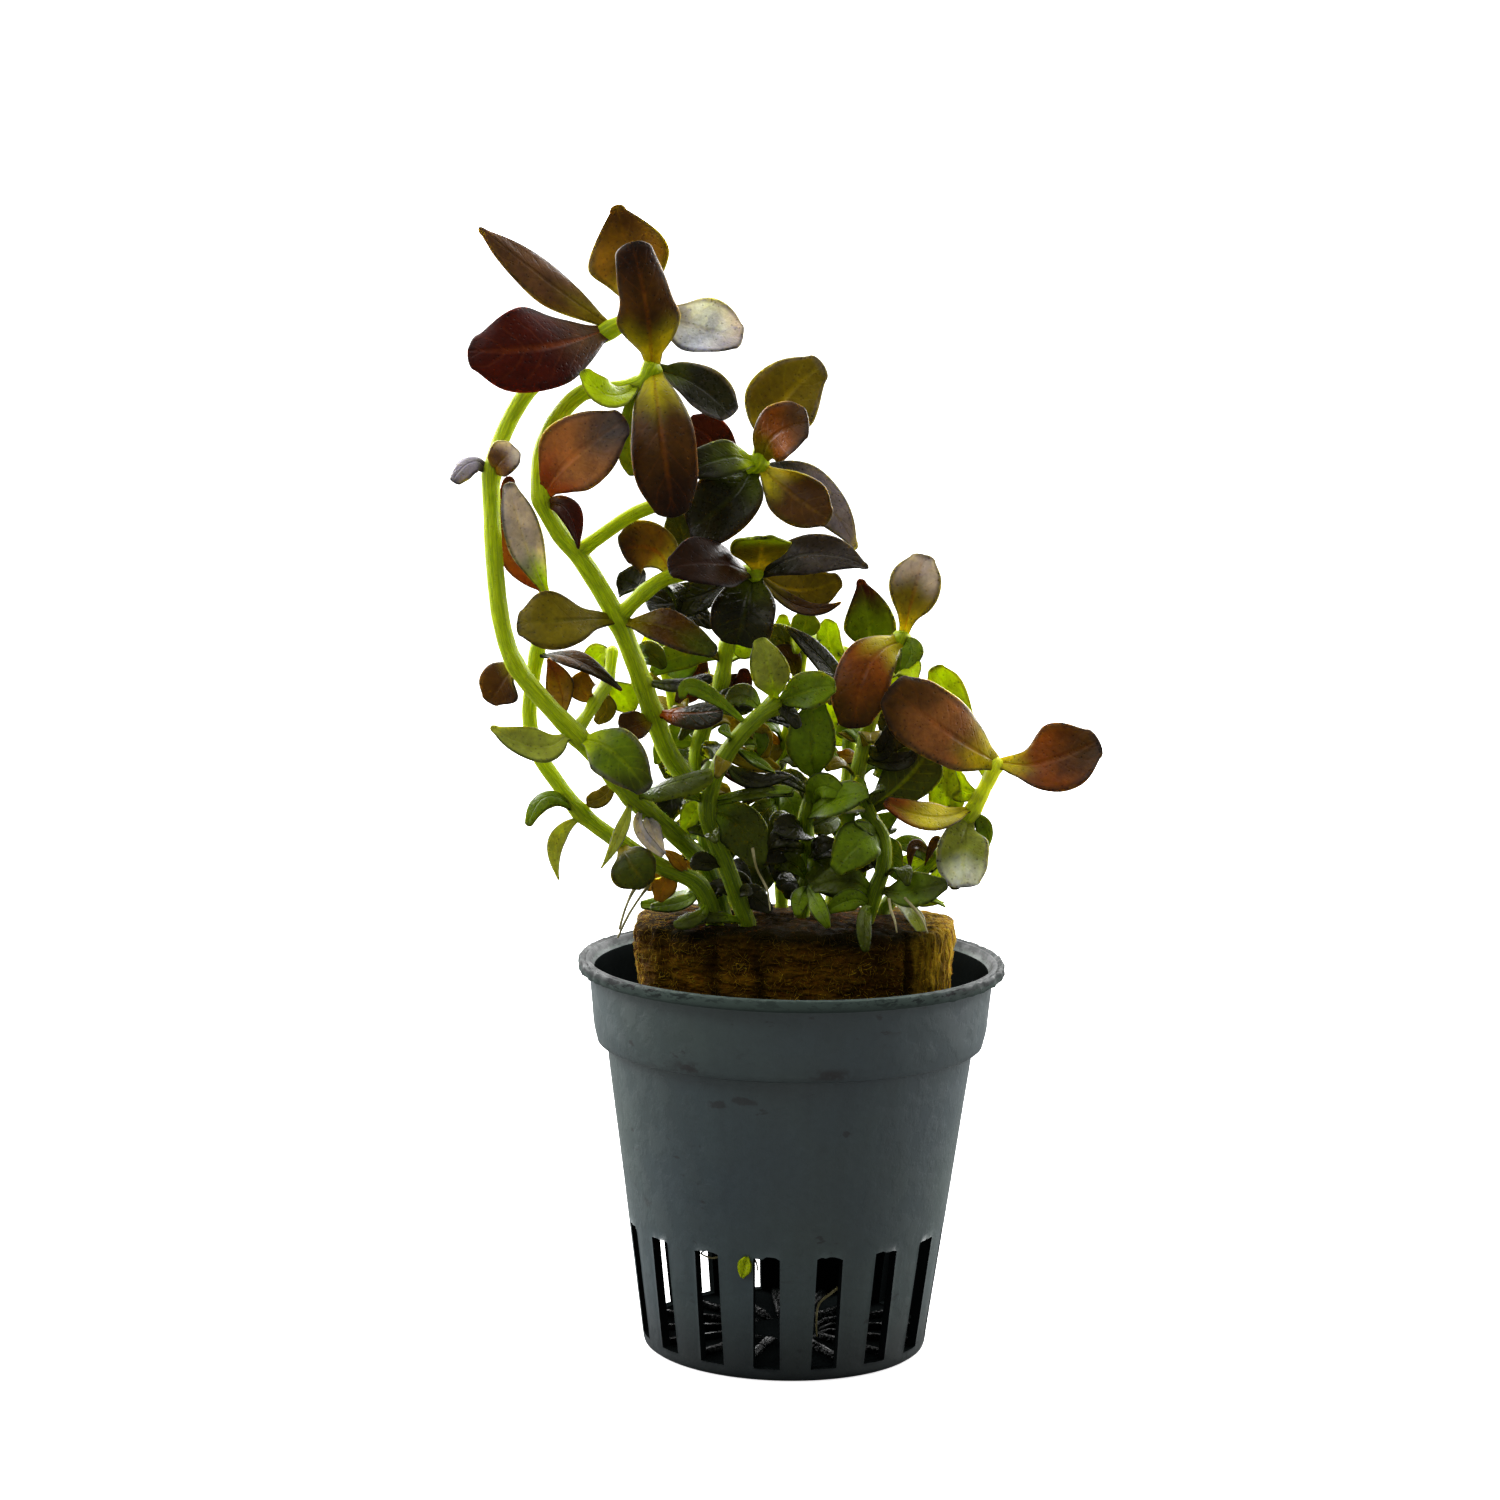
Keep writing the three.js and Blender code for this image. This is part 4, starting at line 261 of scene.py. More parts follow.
# The smallest leaves and scraps between the stems, in the same way
SMALL_ROWS = '''
stem_centre_tall, -10.7 88.4, -14.5 88.4 2, -18.2 85.9 2, 3.8 oval, 0 -1 0.1, 0.1, green;
stem_centre, -10.6 84, -12.5 84.2 -8, -14.3 82.8 -8, 2.4 oval, 0 -0.85 0.5, 0.1, green;
stem_centre, -4.9 82.5, -6.7 83.3 -7, -8.8 82.4 -7, 3.2 oval, 0 -0.85 0.5, 0.2, dark_green;
stem_centre_tall, -9.4 84, -7.1 84.1 2, -6.7 86.9 2, 2.4 tongue, 0 -1 0.1, 0.1, dark_wine;
stem_centre, -4.9 80.8, -2.3 80.9 -8, 0.6 79.6 -8, 2 spear, 0 -0.6 0.8, 0.1, black;
stem_centre, -6.4 78.4, -4.8 78.4 -6, -3.7 75.5 -5, 3.4 oval, 0 -1 0.1, 0.1, all_olive;
stem_centre, -7.6 76.7, -5.2 75.2 -7, -2.4 73.6 -7, 2 spear, 0 -0.6 0.8, 0.1, green;
stem_centre, -9.2 73.3, -6.7 72.7 -8, -3.4 71.6 -8, 2.4 tongue, 0 -0.6 0.8, 0.1, dark_wine;
stem_middle_right, 1 71.5, -1.4 73 -4, -4.4 73.1 -4, 2 spear, 0 -0.6 0.8, 0.1, black;
stem_centre, -9.6 69.3, -5 70.9 -9.5, -0.1 71 -9, 2 tongue, 0 -0.6 0.8, 0.2, dark_green;
stem_middle_right, 1.1 64.1, -2.3 63.8 -7, -5.2 62.2 -7, 3.6 oval, 0 -1 0.1, 0.1, black;
stem_middle_right, 1 65.7, -1.1 65.6 -9, -3.2 64.1 -9, 2.6 oval, 0 -0.85 0.5, 0.3, black;
stem_middle_right, 1.5 69.5, 3.4 72.1 -6.5, 6.5 70.6 -7, 3.4 oval, 0 -1 0.1, 0.15, green;
stem_right_tall, 7.2 70.4, 7.7 72.2 -5, 9 70.4 -6, 2.8 oval, 0 -1 0.1, 0.2, green;
stem_right_tall, 7.8 68.5, 6.5 69.6 -8, 5.5 68.3 -8.5, 2.2 spear, 0 -0.6 0.8, -0.3, all_pale;
stem_middle_right, 1.2 62.6, 3.1 64.4 -6, 5.3 65 -6, 2.6 oval, 0 -0.85 0.5, 0.1, black;
stem_middle_right, 1.1 60, -0.4 62.3 -6, -2 61.3 -6, 2.8 oval, 0 -1 0.1, 0.1, dark_green;
stem_right_tall, 10.4 58.5, 6.6 60.1 -8, 2.4 59 -8, 4.2 oval, 0 -0.85 0.5, 0.1, dark_green;
stem_right_tall, 10.1 57, 7.3 57.6 -9, 4.3 56 -9, 2.8 oval, 0 -1 0.1, 0.1, green;
stem_left, -20.5 68.3, -19.3 65.8 -11, -16.4 62.8 -11, 1.5 tongue, 0 -1 0.1, 0.3, all_silver;
stem_main, -14.8 70.5, -16.4 69.2 -5, -17.5 65.3 -5, 3 tongue, 0 -1 0.1, 0.1, black;
stem_centre, -11.7 69.3, -12.7 68.5 -6, -13.9 65.4 -6, 3 oval, 0 -1 0.1, 0.1, all_lime;
stem_far_left, -13 60.3, -14.8 62.3 -10, -16.6 63.5 -10, 1.8 spear, 0 -0.85 0.5, 0.1, all_amber;
stem_far_left, -16.6 61.5, -16.3 59.4 -9, -17 56.9 -9, 3.4 oval, 0 -1 0.1, 0.1, all_amber;
stem_far_left, -11.1 59.3, -14 56.8 -9, -18 56.1 -9, 2.4 tongue, 0 -0.6 0.8, 0.1, green;
stem_centre, -6.9 54.1, -10.2 55.3 -10, -14.5 54.5 -11, 2.2 tongue, 0 -0.6 0.8, -0.3, dark_green;
stem_right_tall, 8.3 77.8, 7.1 78.3 0, 5.3 78.9 0, 1.3 spear, 0 -0.6 0.8, 0.1, all_olive;
stem_right_tall, 7.9 75.9, 6.6 76 2, 5.2 76.5 2, 2 spear, 0 -1 0.1, 0.1, all_amber;
stem_right_tall, 8.4 77.4, 10.9 76.8 -2, 12.1 80.2 -3, 2.6 tongue, 0 -1 0.1, 0.1, black;
stem_right_tall, 8.4 75.5, 13.2 75.4 -2, 15.4 77.2 -2, 2.6 spear, 0 -0.85 0.5, 0.1, black;
stem_right, 21 66.6, 19.1 70.6 3, 19.5 75.1 4, 4.6 oval, 0 -1 0.1, 0.1, all_lime;
stem_right, 17.9 61.9, 15.3 64.7 1, 12.4 64.7 0, 2.8 oval, 0 -0.85 0.5, 0.1, green;
stem_right, 18.5 62.7, 15.2 64.7 -1, 14.8 61.3 -2, 1.5 spear, 0 -1 0.1, 0.1, brown;
stem_right, 15.8 59.8, 14.1 61.3 2, 12.5 62.6 2, 2.2 oval, 0 -1 0.1, 0.1, all_lime;
stem_right, 19.5 64.2, 17.8 65.2 1, 16.6 62.1 1, 1.4 spear, 0 -1 0.1, 0.1, brown;
stem_right, 15.4 59.5, 17.1 59.8 0, 18.6 61.9 0, 2 oval, 0 -1 0.1, 0.1, all_lime;
stem_right, 13.6 57.1, 16.9 58 0, 19.4 56.9 0, 1.2 spear, 0 -0.6 0.8, 0.1, green;
stem_right, 13.6 57.1, 15.1 56.2 -6, 16.5 53.4 -9, 2 tongue, 0 -1 0.1, 0.1, all_pale;
stem_right_tall, 9 70.4, 10.8 70.5 2, 12.2 73.5 2, 2.6 oval, 0 -1 0.1, 0.1, dark_green;
stem_right_tall, 8.1 67.9, 10.3 67.1 -2, 13.1 69 -2, 3.2 oval, 0 -0.85 0.5, 0.1, green;
stem_right_tall, 9.4 65.3, 11.9 64.1 -2, 13.5 60.3 -3, 3.4 oval, 0 -1 0.1, 0.1, green;
stem_back_right, 5.5 69.1, 4 67.5 6, 1.5 67 5, 3.4 oval, 0 -1 0.1, 0.1, dark_green;
stem_back_right, 5.3 66.5, 7.1 64 6, 8.7 60.2 5, 4.4 oval, 0 -1 0.1, 0.1, green;
stem_back_right, 5.1 64, 3.1 61.1 4, 1.7 57.5 3, 4.6 oval, 0 -1 0.1, 0.1, dark_green;
stem_back_middle, -2.7 63.8, -4.4 61 5, -5.9 57.1 4, 5 oval, 0 -1 0.1, 0.1, dark_green;
stem_back_middle, -2.7 65.1, -0.7 62.3 5, -0.1 57.4 4, 4.8 oval, 0 -1 0.1, 0.1, black;
stem_back_middle, -2.5 70.2, -4.1 68.1 6, -5.8 64.8 6, 4 oval, 0 -1 0.1, 0.1, dark_green;
stem_back_middle, -2.1 71.5, -0.3 69.5 6, 0.3 66.2 6, 3.6 oval, 0 -1 0.1, 0.1, green;
stem_back_middle, -2 77.2, -3.5 76.3 7, -5.5 77.5 7, 3 oval, 0 -1 0.1, 0.1, all_olive;
stem_middle_right, 1.2 63.9, 3.9 62.4 -2, 6.2 58.9 -3, 4 oval, 0 -1 0.1, 0.1, black;
stem_centre, -10.3 61.1, -7.2 59.4 -6, -5.1 56.3 -6, 3.6 oval, 0 -1 0.1, 0.1, black;
stem_centre, -8.2 57.9, -5.2 57.9 -8, -2.6 55.9 -9, 3.2 oval, 0 -1 0.1, 0.1, black;
stem_main, -13.1 64.9, -15.1 65.9 3, -16.4 67.6 4, 2.6 oval, 0 -1 0.1, 0.1, green;
stem_back_left, -13.1 67.4, -11.4 66.2 8, -9.1 67 8, 3.4 oval, 0 -1 0.1, 0.1, green;
stem_back_left, -14.7 72.5, -12.7 71.8 8, -10.5 73.1 8, 3.4 oval, 0 -1 0.1, 0.1, dark_green;
stem_back_left, -16.6 80.1, -14.9 80.6 8, -12.8 79.4 8, 3 oval, 0 -1 0.1, 0.1, all_olive;
stem_centre_tall, -12 77.7, -14.3 77.9 2, -16.1 79.4 2, 2.8 oval, 0 -1 0.1, 0.1, green;
stem_right_tall, 11.6 89.5, 12.9 88 -1, 13.7 85.5 -2, 2.6 oval, 0 -1 0.1, 0.1, green;
branch_middle, -17.5 97.6, -14.8 95.2 0, -10.4 92 1, 4.2 oval, 0 -0.8 0.6, 0.1, black;
shoot_high, -14.5 108, -14.6 105.5 3, -14.2 102.6 3, 3.8 oval, 0 -1 0.1, 0.1, brown;
stem_centre, -6.4 79.2, -3.2 80.8 -6, 0.4 78.8 -5, 2.4 spear, 0 -0.6 0.8, 0.1, black;
stem_centre_tall, -10.6 82, -8.2 82.8 -2, -5.4 81.9 -2, 3.2 oval, 0 -1 0.1, 0.1, black;
stem_main, -20.4 87.4, -18.6 88.6 -1, -16.6 86.6 -1, 3.2 oval, 0 -1 0.1, 0.1, dark_green;
stem_back_left, -16.4 86, -14.4 87 6, -12.4 89 5, 3.4 oval, 0 -1 0.1, 0.1, green;
stem_back_middle, 0.2 86, -1.4 88.2 6, -4 87.4 5, 3.6 oval, 0 -1 0.1, 0.1, brown;
stem_back_middle, 0.4 88, -2 90.4 6, -5.2 91 6, 4.2 oval, 0 -1 0.1, 0.1, dark_green;
stem_back_left, -12.9 72.5, -14.2 74.5 8, -16.4 76 7, 3.6 oval, 0 -1 0.1, 0.1, all_olive
'''

# The inner stems that carry pairs of small leaves: stem, heights from and to, and a leaf's length
INNER = [
    ['stem_centre', 58, 79, 5.0], ['stem_centre_tall', 58, 88, 5.2], ['stem_middle_right', 57, 73, 5.6],
    ['stem_right_tall', 60, 88, 5.0], ['stem_back_middle', 58, 92, 6.2], ['stem_back_right', 58, 90, 6.2],
    ['stem_back_left', 58, 90, 5.6], ['stem_main', 58, 74, 4.6], ['stem_right', 57, 69, 4.6],
]

# How wide each outline is, as a share of the full width, at places from base to tip
OUTLINES = {
    'spoon': [[0, 0.26], [0.2, 0.42], [0.42, 0.82], [0.62, 1], [0.82, 0.86], [0.95, 0.48]],
    'oval': [[0, 0.28], [0.18, 0.62], [0.38, 0.95], [0.58, 1], [0.78, 0.8], [0.94, 0.42]],
    'spear': [[0, 0.3], [0.2, 0.74], [0.4, 1], [0.6, 0.9], [0.8, 0.56], [0.94, 0.2]],
    'bottle': [[0, 0.36], [0.14, 0.8], [0.28, 1], [0.5, 0.84], [0.72, 0.76], [0.93, 0.6]],
    'tongue': [[0, 0.36], [0.18, 0.72], [0.4, 0.94], [0.62, 1], [0.82, 0.9], [0.95, 0.6]],
    'rhomb': [[0, 0.3], [0.2, 0.6], [0.48, 1], [0.66, 0.86], [0.84, 0.5], [0.95, 0.2]],
}

# The colours of plant tissue, as they are seen in even light, and of painted sheen: 'slate', 'dove',
# 'stone',
# 'silver' and 'cream' are painted reflection of light on waxy leaves, and 'purple' is dark tissue with some
# painted sheen.
TISSUE_AND_SHEEN = {
    'lime': 'b0c40a', 'yellow': 'b8ac10', 'leaf': '68800a', 'moss': '444e08', 'ink': '22220a',
    'olive': '786a0a', 'amber': '8c6608', 'rust': '88480a', 'ember': '9a480e', 'wine': '461002',
    'maroon': '341004', 'dusk': '2a1606', 'umber': '4e3008', 'bark': '6a4a2c', 'copper': 'a06a34',
    'stone': '40382e', 'slate': '5c5048', 'dove': '8a8490', 'purple': '3a241a', 'silver': 'bcb4b2',
    'pale': '98a03a', 'cream': 'd4d8e4',
}

# Leaves that shine wetly, from 0 to 1.
WET = {
    'leaf_glossy_down': 1.0, 'leaf_black_left': 0.9, 'leaf_black_curl': 0.9, 'leaf_gloss_brown': 1.0,
    'leaf_green_curl': 0.9, 'leaf_cream': 0.4, 'leaf_dark_top': 0.5, 'leaf_slate_right': 0.5,
    'leaf_striped': 0.6, 'leaf_dark_low': 0.5,
}

# Looks that several leaves share: colours at base, middle, tip, rim and rib, as tissue and, for some
# words, painted sheen
PLAIN = {
    'green': 'leaf leaf leaf moss leaf',
    'black': 'moss ink ink moss ink',
    'dark_wine': 'umber maroon maroon wine maroon',
    'all_olive': 'olive olive olive umber olive',
    'all_lime': 'lime lime lime pale lime',
    'dark_green': 'leaf moss moss leaf moss',
    'all_pale': 'pale pale pale cream pale',
    'all_silver': 'silver silver silver slate silver',
    'all_amber': 'amber amber amber umber amber',
    'brown': 'olive umber umber slate umber',
}


def rows_of(table):
    """The rows of a table of words, each as its groups of words."""
    return [[group.split() for group in row.split(',')] for row in table.split(';')]


def numbers(words):
    return [float(word) for word in words]


def leaf_row(groups):
    """Stem, place, bend, tip, width, outline, face, lift and look of a leaf."""
    (*_, stem), place, bend, tip, (width, outline), face, (lift,), look = groups
    look = PLAIN.get(look[0], ' '.join(look))
    places = [numbers(words) for words in (place, bend, tip)]
    return [stem, *places, float(width), outline, numbers(face), float(lift), look]


STEMS = [[name, float(foot), float(tip), numbers(at_plug), [numbers(words) for words in places]]
         for (name, foot, tip), at_plug, *places in rows_of(STEM_ROWS)]
LEAVES = [['leaf_' + groups[0][0], leaf_row(groups)] for groups in rows_of(LEAF_ROWS)]
LEAFLETS = [leaf_row(groups) for groups in rows_of(LEAFLET_ROWS)]
SMALL = [leaf_row(groups) for groups in rows_of(SMALL_ROWS)]


def linear(code):
    """A colour's hex code as the four linear values that Blender uses."""
    values = [int(code[i:i + 2], 16) / 255 for i in (0, 2, 4)]
    return [v / 12.92 if v <= 0.04045 else ((v + 0.055) / 1.055) ** 2.4 for v in values] + [1.0]


def smooth(low, high, value):
    """0 below low, 1 above high, and a smooth step between."""
    share = np.clip((np.asarray(value, float) - low) / (high - low), 0, 1)
    return share * share * (3 - 2 * share)


def seen(place):
    """The true place of what appears at across and up in the pot's plane, and stands back from it."""
    across, up, back = place
    spread = (EYE_DISTANCE + back) / EYE_DISTANCE
    return np.array([across * spread, back, EYE_HEIGHT + (up - EYE_HEIGHT) * spread])


def appears(points):
    """Where true places appear, as across and up: the reverse of seen()."""
    points = np.atleast_2d(points)
    spread = (EYE_DISTANCE + points[:, 1]) / EYE_DISTANCE
    return np.stack([points[:, 0] / spread, EYE_HEIGHT + (points[:, 2] - EYE_HEIGHT) / spread], 1)


def appears_at(x, y, z):
    """The [across, up, back] that seen() turns into this place."""
    across, up = appears([[x, y, z]])[0]
    return [across, up, y]


def path_through(points, per_span=24):
    """A centripetal curve through the points, sampled densely."""
    points = [np.asarray(p, float) for p in points]
    points = [2 * points[0] - points[1]] + points + [2 * points[-1] - points[-2]]
    out = []
    for p0, p1, p2, p3 in zip(points, points[1:], points[2:], points[3:]):
        d0, d1, d2 = (np.linalg.norm(b - a) ** 0.5 for a, b in ((p0, p1), (p1, p2), (p2, p3)))
        t1 = ((p1 - p0) / d0 - (p2 - p0) / (d0 + d1) + (p2 - p1) / d1) * d1
        t2 = ((p2 - p1) / d1 - (p3 - p1) / (d1 + d2) + (p3 - p2) / d2) * d1
        w = np.linspace(0, 1, per_span, endpoint=False)[:, None]
        out.append(p1 + t1 * w + (3 * (p2 - p1) - 2 * t1 - t2) * w ** 2
                   + (2 * (p1 - p2) + t1 + t2) * w ** 3)
    return np.concatenate(out + [[points[-2]]])


def evenly(path, step):
    """The path with its points an equal step apart, and the distance along it of each."""
    length = np.concatenate([[0], np.cumsum(np.linalg.norm(np.diff(path, axis=0), axis=1))])
    count = max(3, int(round(length[-1] / step)))
    places = np.linspace(0, length[-1], count + 1)
    return np.stack([np.interp(places, length, path[:, i]) for i in range(3)], 1), places


# Nodes, for the materials and for the trees of Geometry Nodes alike

class Value:
    """What a socket puts out, so that sums of nodes are written as sums."""

    def __init__(self, socket):
        self.socket = socket
        self.tree = socket.id_data

    def maths(self, operation, *others):
        return put(self.tree, 'ShaderNodeMath', dict(enumerate((self, *others))), operation=operation)

    def __add__(self, other):
        return self.maths('ADD', other)

    def __sub__(self, other):
        return self.maths('SUBTRACT', other)

    def __mul__(self, other):
        return self.maths('MULTIPLY', other)

    def __truediv__(self, other):
        return self.maths('DIVIDE', other)

    def __abs__(self):
        return self.maths('ABSOLUTE')

    def clamped(self):
        self.socket.node.use_clamp = True
        return self

    def or_more(self, other):
        return self.maths('MAXIMUM', other)

    def ramp(self, low, high, to_low=0.0, to_high=1.0, kind='SMOOTHSTEP'):
        return put(self.tree, 'ShaderNodeMapRange', {
            'Value': self, 'From Min': low, 'From Max': high, 'To Min': to_low, 'To Max': to_high},
            interpolation_type=kind)

    def line(self, to_low, to_high, low=0.0, high=1.0):
        return self.ramp(low, high, to_low, to_high, 'LINEAR')

    def grain(self, scale, detail=3.0, rough=0.55):
        return put(self.tree, 'ShaderNodeTexNoise', {
            'Vector': self, 'Scale': scale, 'Detail': detail, 'Roughness': rough})

    def cells(self, scale):
        return put(self.tree, 'ShaderNodeTexVoronoi', {'Vector': self, 'Scale': scale}, 'Distance')

    def stretched(self, scale):
        return put(self.tree, 'ShaderNodeMapping', {'Vector': self, 'Scale': scale})

    def axes(self):
        return [Value(s) for s in node_in(self.tree, 'ShaderNodeSeparateXYZ', {0: self}).outputs]

    def lit(self, light):
        return put(self.tree, 'ShaderNodeHueSaturation', {'Value': light, 'Color': self})

    def painted(self, share, colour):
        """This colour, with another over a share of it."""
        return put(self.tree, 'ShaderNodeMix', {0: share, 6: self, 7: colour}, 2, data_type='RGBA')


def node_in(tree, kind, inputs=None, **settings):
    """A node with its settings, and its inputs from values, from other nodes or from colour codes."""
    node = tree.nodes.new(kind)
    for key, value in settings.items():
        setattr(node, key, value)
    for key, value in (inputs or {}).items():
        socket = node.inputs[key]
        if isinstance(value, Value):
            tree.links.new(value.socket, socket)
        else:
            coded = socket.type == 'RGBA' and isinstance(value, str)
            socket.default_value = linear(value) if coded else value
    return node


def put(tree, kind, inputs=None, out=0, **settings):
    """One output of a new node."""
    return Value(node_in(tree, kind, inputs, **settings).outputs[out])


def together(tree, x, y, z):
    return put(tree, 'ShaderNodeCombineXYZ', {'X': x, 'Y': y, 'Z': z})


# The kinds of socket that a node group's inputs can name
SOCKETS = {'colour': 'Color', 'vector': 'Vector', 'skin': 'Geometry', 'material': 'Material'}


def new_tree(kind, name, inputs, outputs, build):
    """A node group: each input is a kind of socket or its first value, and build gives the outputs."""
    tree = bpy.data.node_groups.new(name, kind)
    for label, start in inputs.items():
        words = {float: 'Float', int: 'Int', tuple: 'Vector'}
        what = SOCKETS[start] if isinstance(start, str) else words[type(start)]
        socket = tree.interface.new_socket(label, in_out='INPUT', socket_type='NodeSocket' + what)
        if not isinstance(start, str):
            socket.default_value = start
    for label in outputs.split():
        what = {'Colour': 'Color', 'Geometry': 'Geometry'}.get(label, 'Float')
        tree.interface.new_socket(label, in_out='OUTPUT', socket_type='NodeSocket' + what)
    given = {s.name: Value(s) for s in tree.nodes.new('NodeGroupInput').outputs if s.name}
    made = tree.nodes.new('NodeGroupOutput').inputs
    for label, value in zip(outputs.split(), build(tree, given)):
        tree.links.new(value.socket, made[label])
    return tree


# Groups of the materials

def leaf_skin(tree, g):
    """Midrib, slanting side veins, rim colour, mottling and pits of a leaf, and painted shade on its edges
    and tip, from its own coordinates.
    """
    broad = g['Vector'].grain(320.0)
    fine = g['Vector'].grain(1900.0, 3.0, 0.6)
    side = abs(g['Across'])
    rib = side.ramp(0.02, 0.13, 1.0, 0.0) * g['Along'].ramp(0.35, 1.0, 1.0, 0.25)
    slant = broad * 0.5 + (side * -1.7 + g['Along'] * 6.5)
    vein = slant.maths('PINGPONG', 0.5).ramp(0.0, 0.13, 1.0, 0.0) * side.ramp(0.55, 0.95, 1.0, 0.0)
    faint = vein * g['Veins']
    pits = g['Vector'].cells(1500.0).ramp(0.1, 0.28, 1.0, 0.0)
    # Painted shade: the edges and the tip are darkened against the glow of light through the thin blade;
    # the rim colour laid over them is tissue for some leaves and painted sheen for others.
    edge = (broad * 0.18 + side).ramp(0.84, 1.04).or_more(g['Along'].ramp(0.93, 1.0)) * 0.3
    colour = g['Tint'].painted(rib * 0.34, g['Rib']).painted(faint * 0.55, g['Rib'])
    light = broad.line(0.62, 1.4, 0.25, 0.75) + (fine - 0.5) * 0.7 - pits * 0.3 - edge * 2.2
    colour = colour.painted(edge, g['Rim']).lit((light - 1.0) * g['Mottle'] + 1.0)
    rough = ((fine - 0.5) * 0.3 + g['Wet'].line(0.46, 0.14)).clamped()
    return colour, rough, fine * 0.55 - faint * 0.8 - rib * 0.8 - pits * 0.35


def blotches(tree, g):
    """Two colours in soft blotches with a finer grain, and the grain's height."""
    half = g['Sharpness'].line(0.4, 0.04)
    share = g['Vector'].grain(g['Scale'], 4.0).ramp(half * -1.0 + 0.5, half + 0.5)
    fine = g['Vector'].grain(g['Grain Scale'], 3.0, 0.6)
    colour = g['First'].painted(share, g['Second']).lit((fine - 0.5) * (g['Grain'] * 4.0) + 1.0)
    return colour, share, fine


def streaks(tree, g):
    """Lines drawn out along one way, such as fibres or the grooves of a stem."""
    return [g['Vector'].stretched(g['Scale']).grain(1.0, g['Detail'], 0.5).ramp(0.3, 0.7)]


# The plug's folds on its front: where across, and half the width of the painted shade in the crease, in
# metres
FOLD_SHADE_LINES = [(-0.0094, 0.0016), (-0.0038, 0.0011), (0.0146, 0.0013)]


def folds(tree, g):
    """Painted shade in the creases where the plug's strip folds over: dark, upright and a little slanted,
    and along its upper front.
    """
    x, y, z = g['Vector'].axes()
    uneven = g['Vector'].stretched((300.0, 300.0, 120.0)).grain(1.0)
    shift = (z - 0.048) * 0.06 + (uneven * 0.003 + (x - 0.0015))
    share = z.ramp(0.0505, 0.0545, 0.0, 0.75)
    for fold, half in FOLD_SHADE_LINES:
        share = share.or_more(abs(shift - fold).ramp(half * 0.1, half * 1.1, 1.0, 0.0))
    return [share * y.ramp(-0.011, -0.006, 0.62, 0.0)]


def shader_group(name, inputs, outputs, build):
    return new_tree('ShaderNodeTree', name, inputs, outputs, build)


GROUPS = {
    'leaf': shader_group('leaf_skin', {
        'Tint': 'colour', 'Rib': 'colour', 'Rim': 'colour', 'Across': 0.0, 'Along': 0.0, 'Wet': 0.0,
        'Vector': 'vector', 'Veins': 0.5, 'Mottle': 0.5}, 'Colour Roughness Height', leaf_skin),
    'blotches': shader_group('blotches', {
        'First': 'colour', 'Second': 'colour', 'Vector': 'vector', 'Scale': 100.0, 'Sharpness': 0.5,
        'Grain Scale': 1000.0, 'Grain': 0.2}, 'Colour Share Height', blotches),
    'streaks': shader_group('streaks', {
        'Vector': 'vector', 'Scale': (1.0, 1.0, 1.0), 'Detail': 3.0}, 'Share', streaks),
    'folds': shader_group('folds', {'Vector': 'vector'}, 'Share', folds),
}


def group_at(vector, key, **inputs):
    """The outputs of a group that is placed in the vector's material."""
    inputs = {label.replace('_', ' '): value for label, value in inputs.items()}
    node = node_in(vector.tree, 'ShaderNodeGroup', dict(inputs, Vector=vector), node_tree=GROUPS[key])
    return {s.name: Value(s) for s in node.outputs}


def blotches_at(vector, first, second, *sizes):
    scale, sharpness, grain_scale, grain = sizes
    return group_at(vector, 'blotches', First=first, Second=second, Scale=scale, Sharpness=sharpness,
                    Grain_Scale=grain_scale, Grain=grain)


def streaks_at(vector, scale, detail):
    return group_at(vector, 'streaks', Scale=scale, Detail=detail)['Share']


# Materials

def own(tree, name, out='Fac'):
    return put(tree, 'ShaderNodeAttribute', None, out, attribute_name=name)


def start_material(name, gloss, through=0.0, deep=0.001, radius=None):
    """The material and its Object coordinates, with light going through it over deep metres."""
    material = bpy.data.materials.new(name)
    material.use_nodes = True
    shader = material.node_tree.nodes['Principled BSDF']
    shader.inputs['Specular IOR Level'].default_value = gloss
    if through:
        shader.inputs['Subsurface Weight'].default_value = through
        shader.inputs['Subsurface Scale'].default_value = deep
    if radius:
        shader.inputs['Subsurface Radius'].default_value = radius
    return material, put(material.node_tree, 'ShaderNodeTexCoord', None, 'Object')


def finished(material, colour, rough, height, distance, strength):
    """The material with its colour, its roughness and a fine relief."""
    tree = material.node_tree
    bump = put(tree, 'ShaderNodeBump', {'Height': height, 'Distance': distance, 'Strength': strength})
    shader = tree.nodes['Principled BSDF']
    for label, value in (('Base Color', colour), ('Roughness', rough), ('Normal', bump)):
        tree.links.new(value.socket, shader.inputs[label])
    return material


def leaf_material(name, through, veins, mottle, gloss, relief):
    material, here = start_material(name, gloss, through, radius=(1.0, 0.92, 0.25))
    tree = here.tree
    given = {word.title(): own(tree, word, 'Color') for word in COLOURS}
    given.update({word.title(): own(tree, word) for word in ('across', 'along', 'wet')})
    out = group_at(here, 'leaf', Veins=veins, Mottle=mottle, **given)
    return finished(material, out['Colour'], out['Roughness'], out['Height'], relief, 0.7)


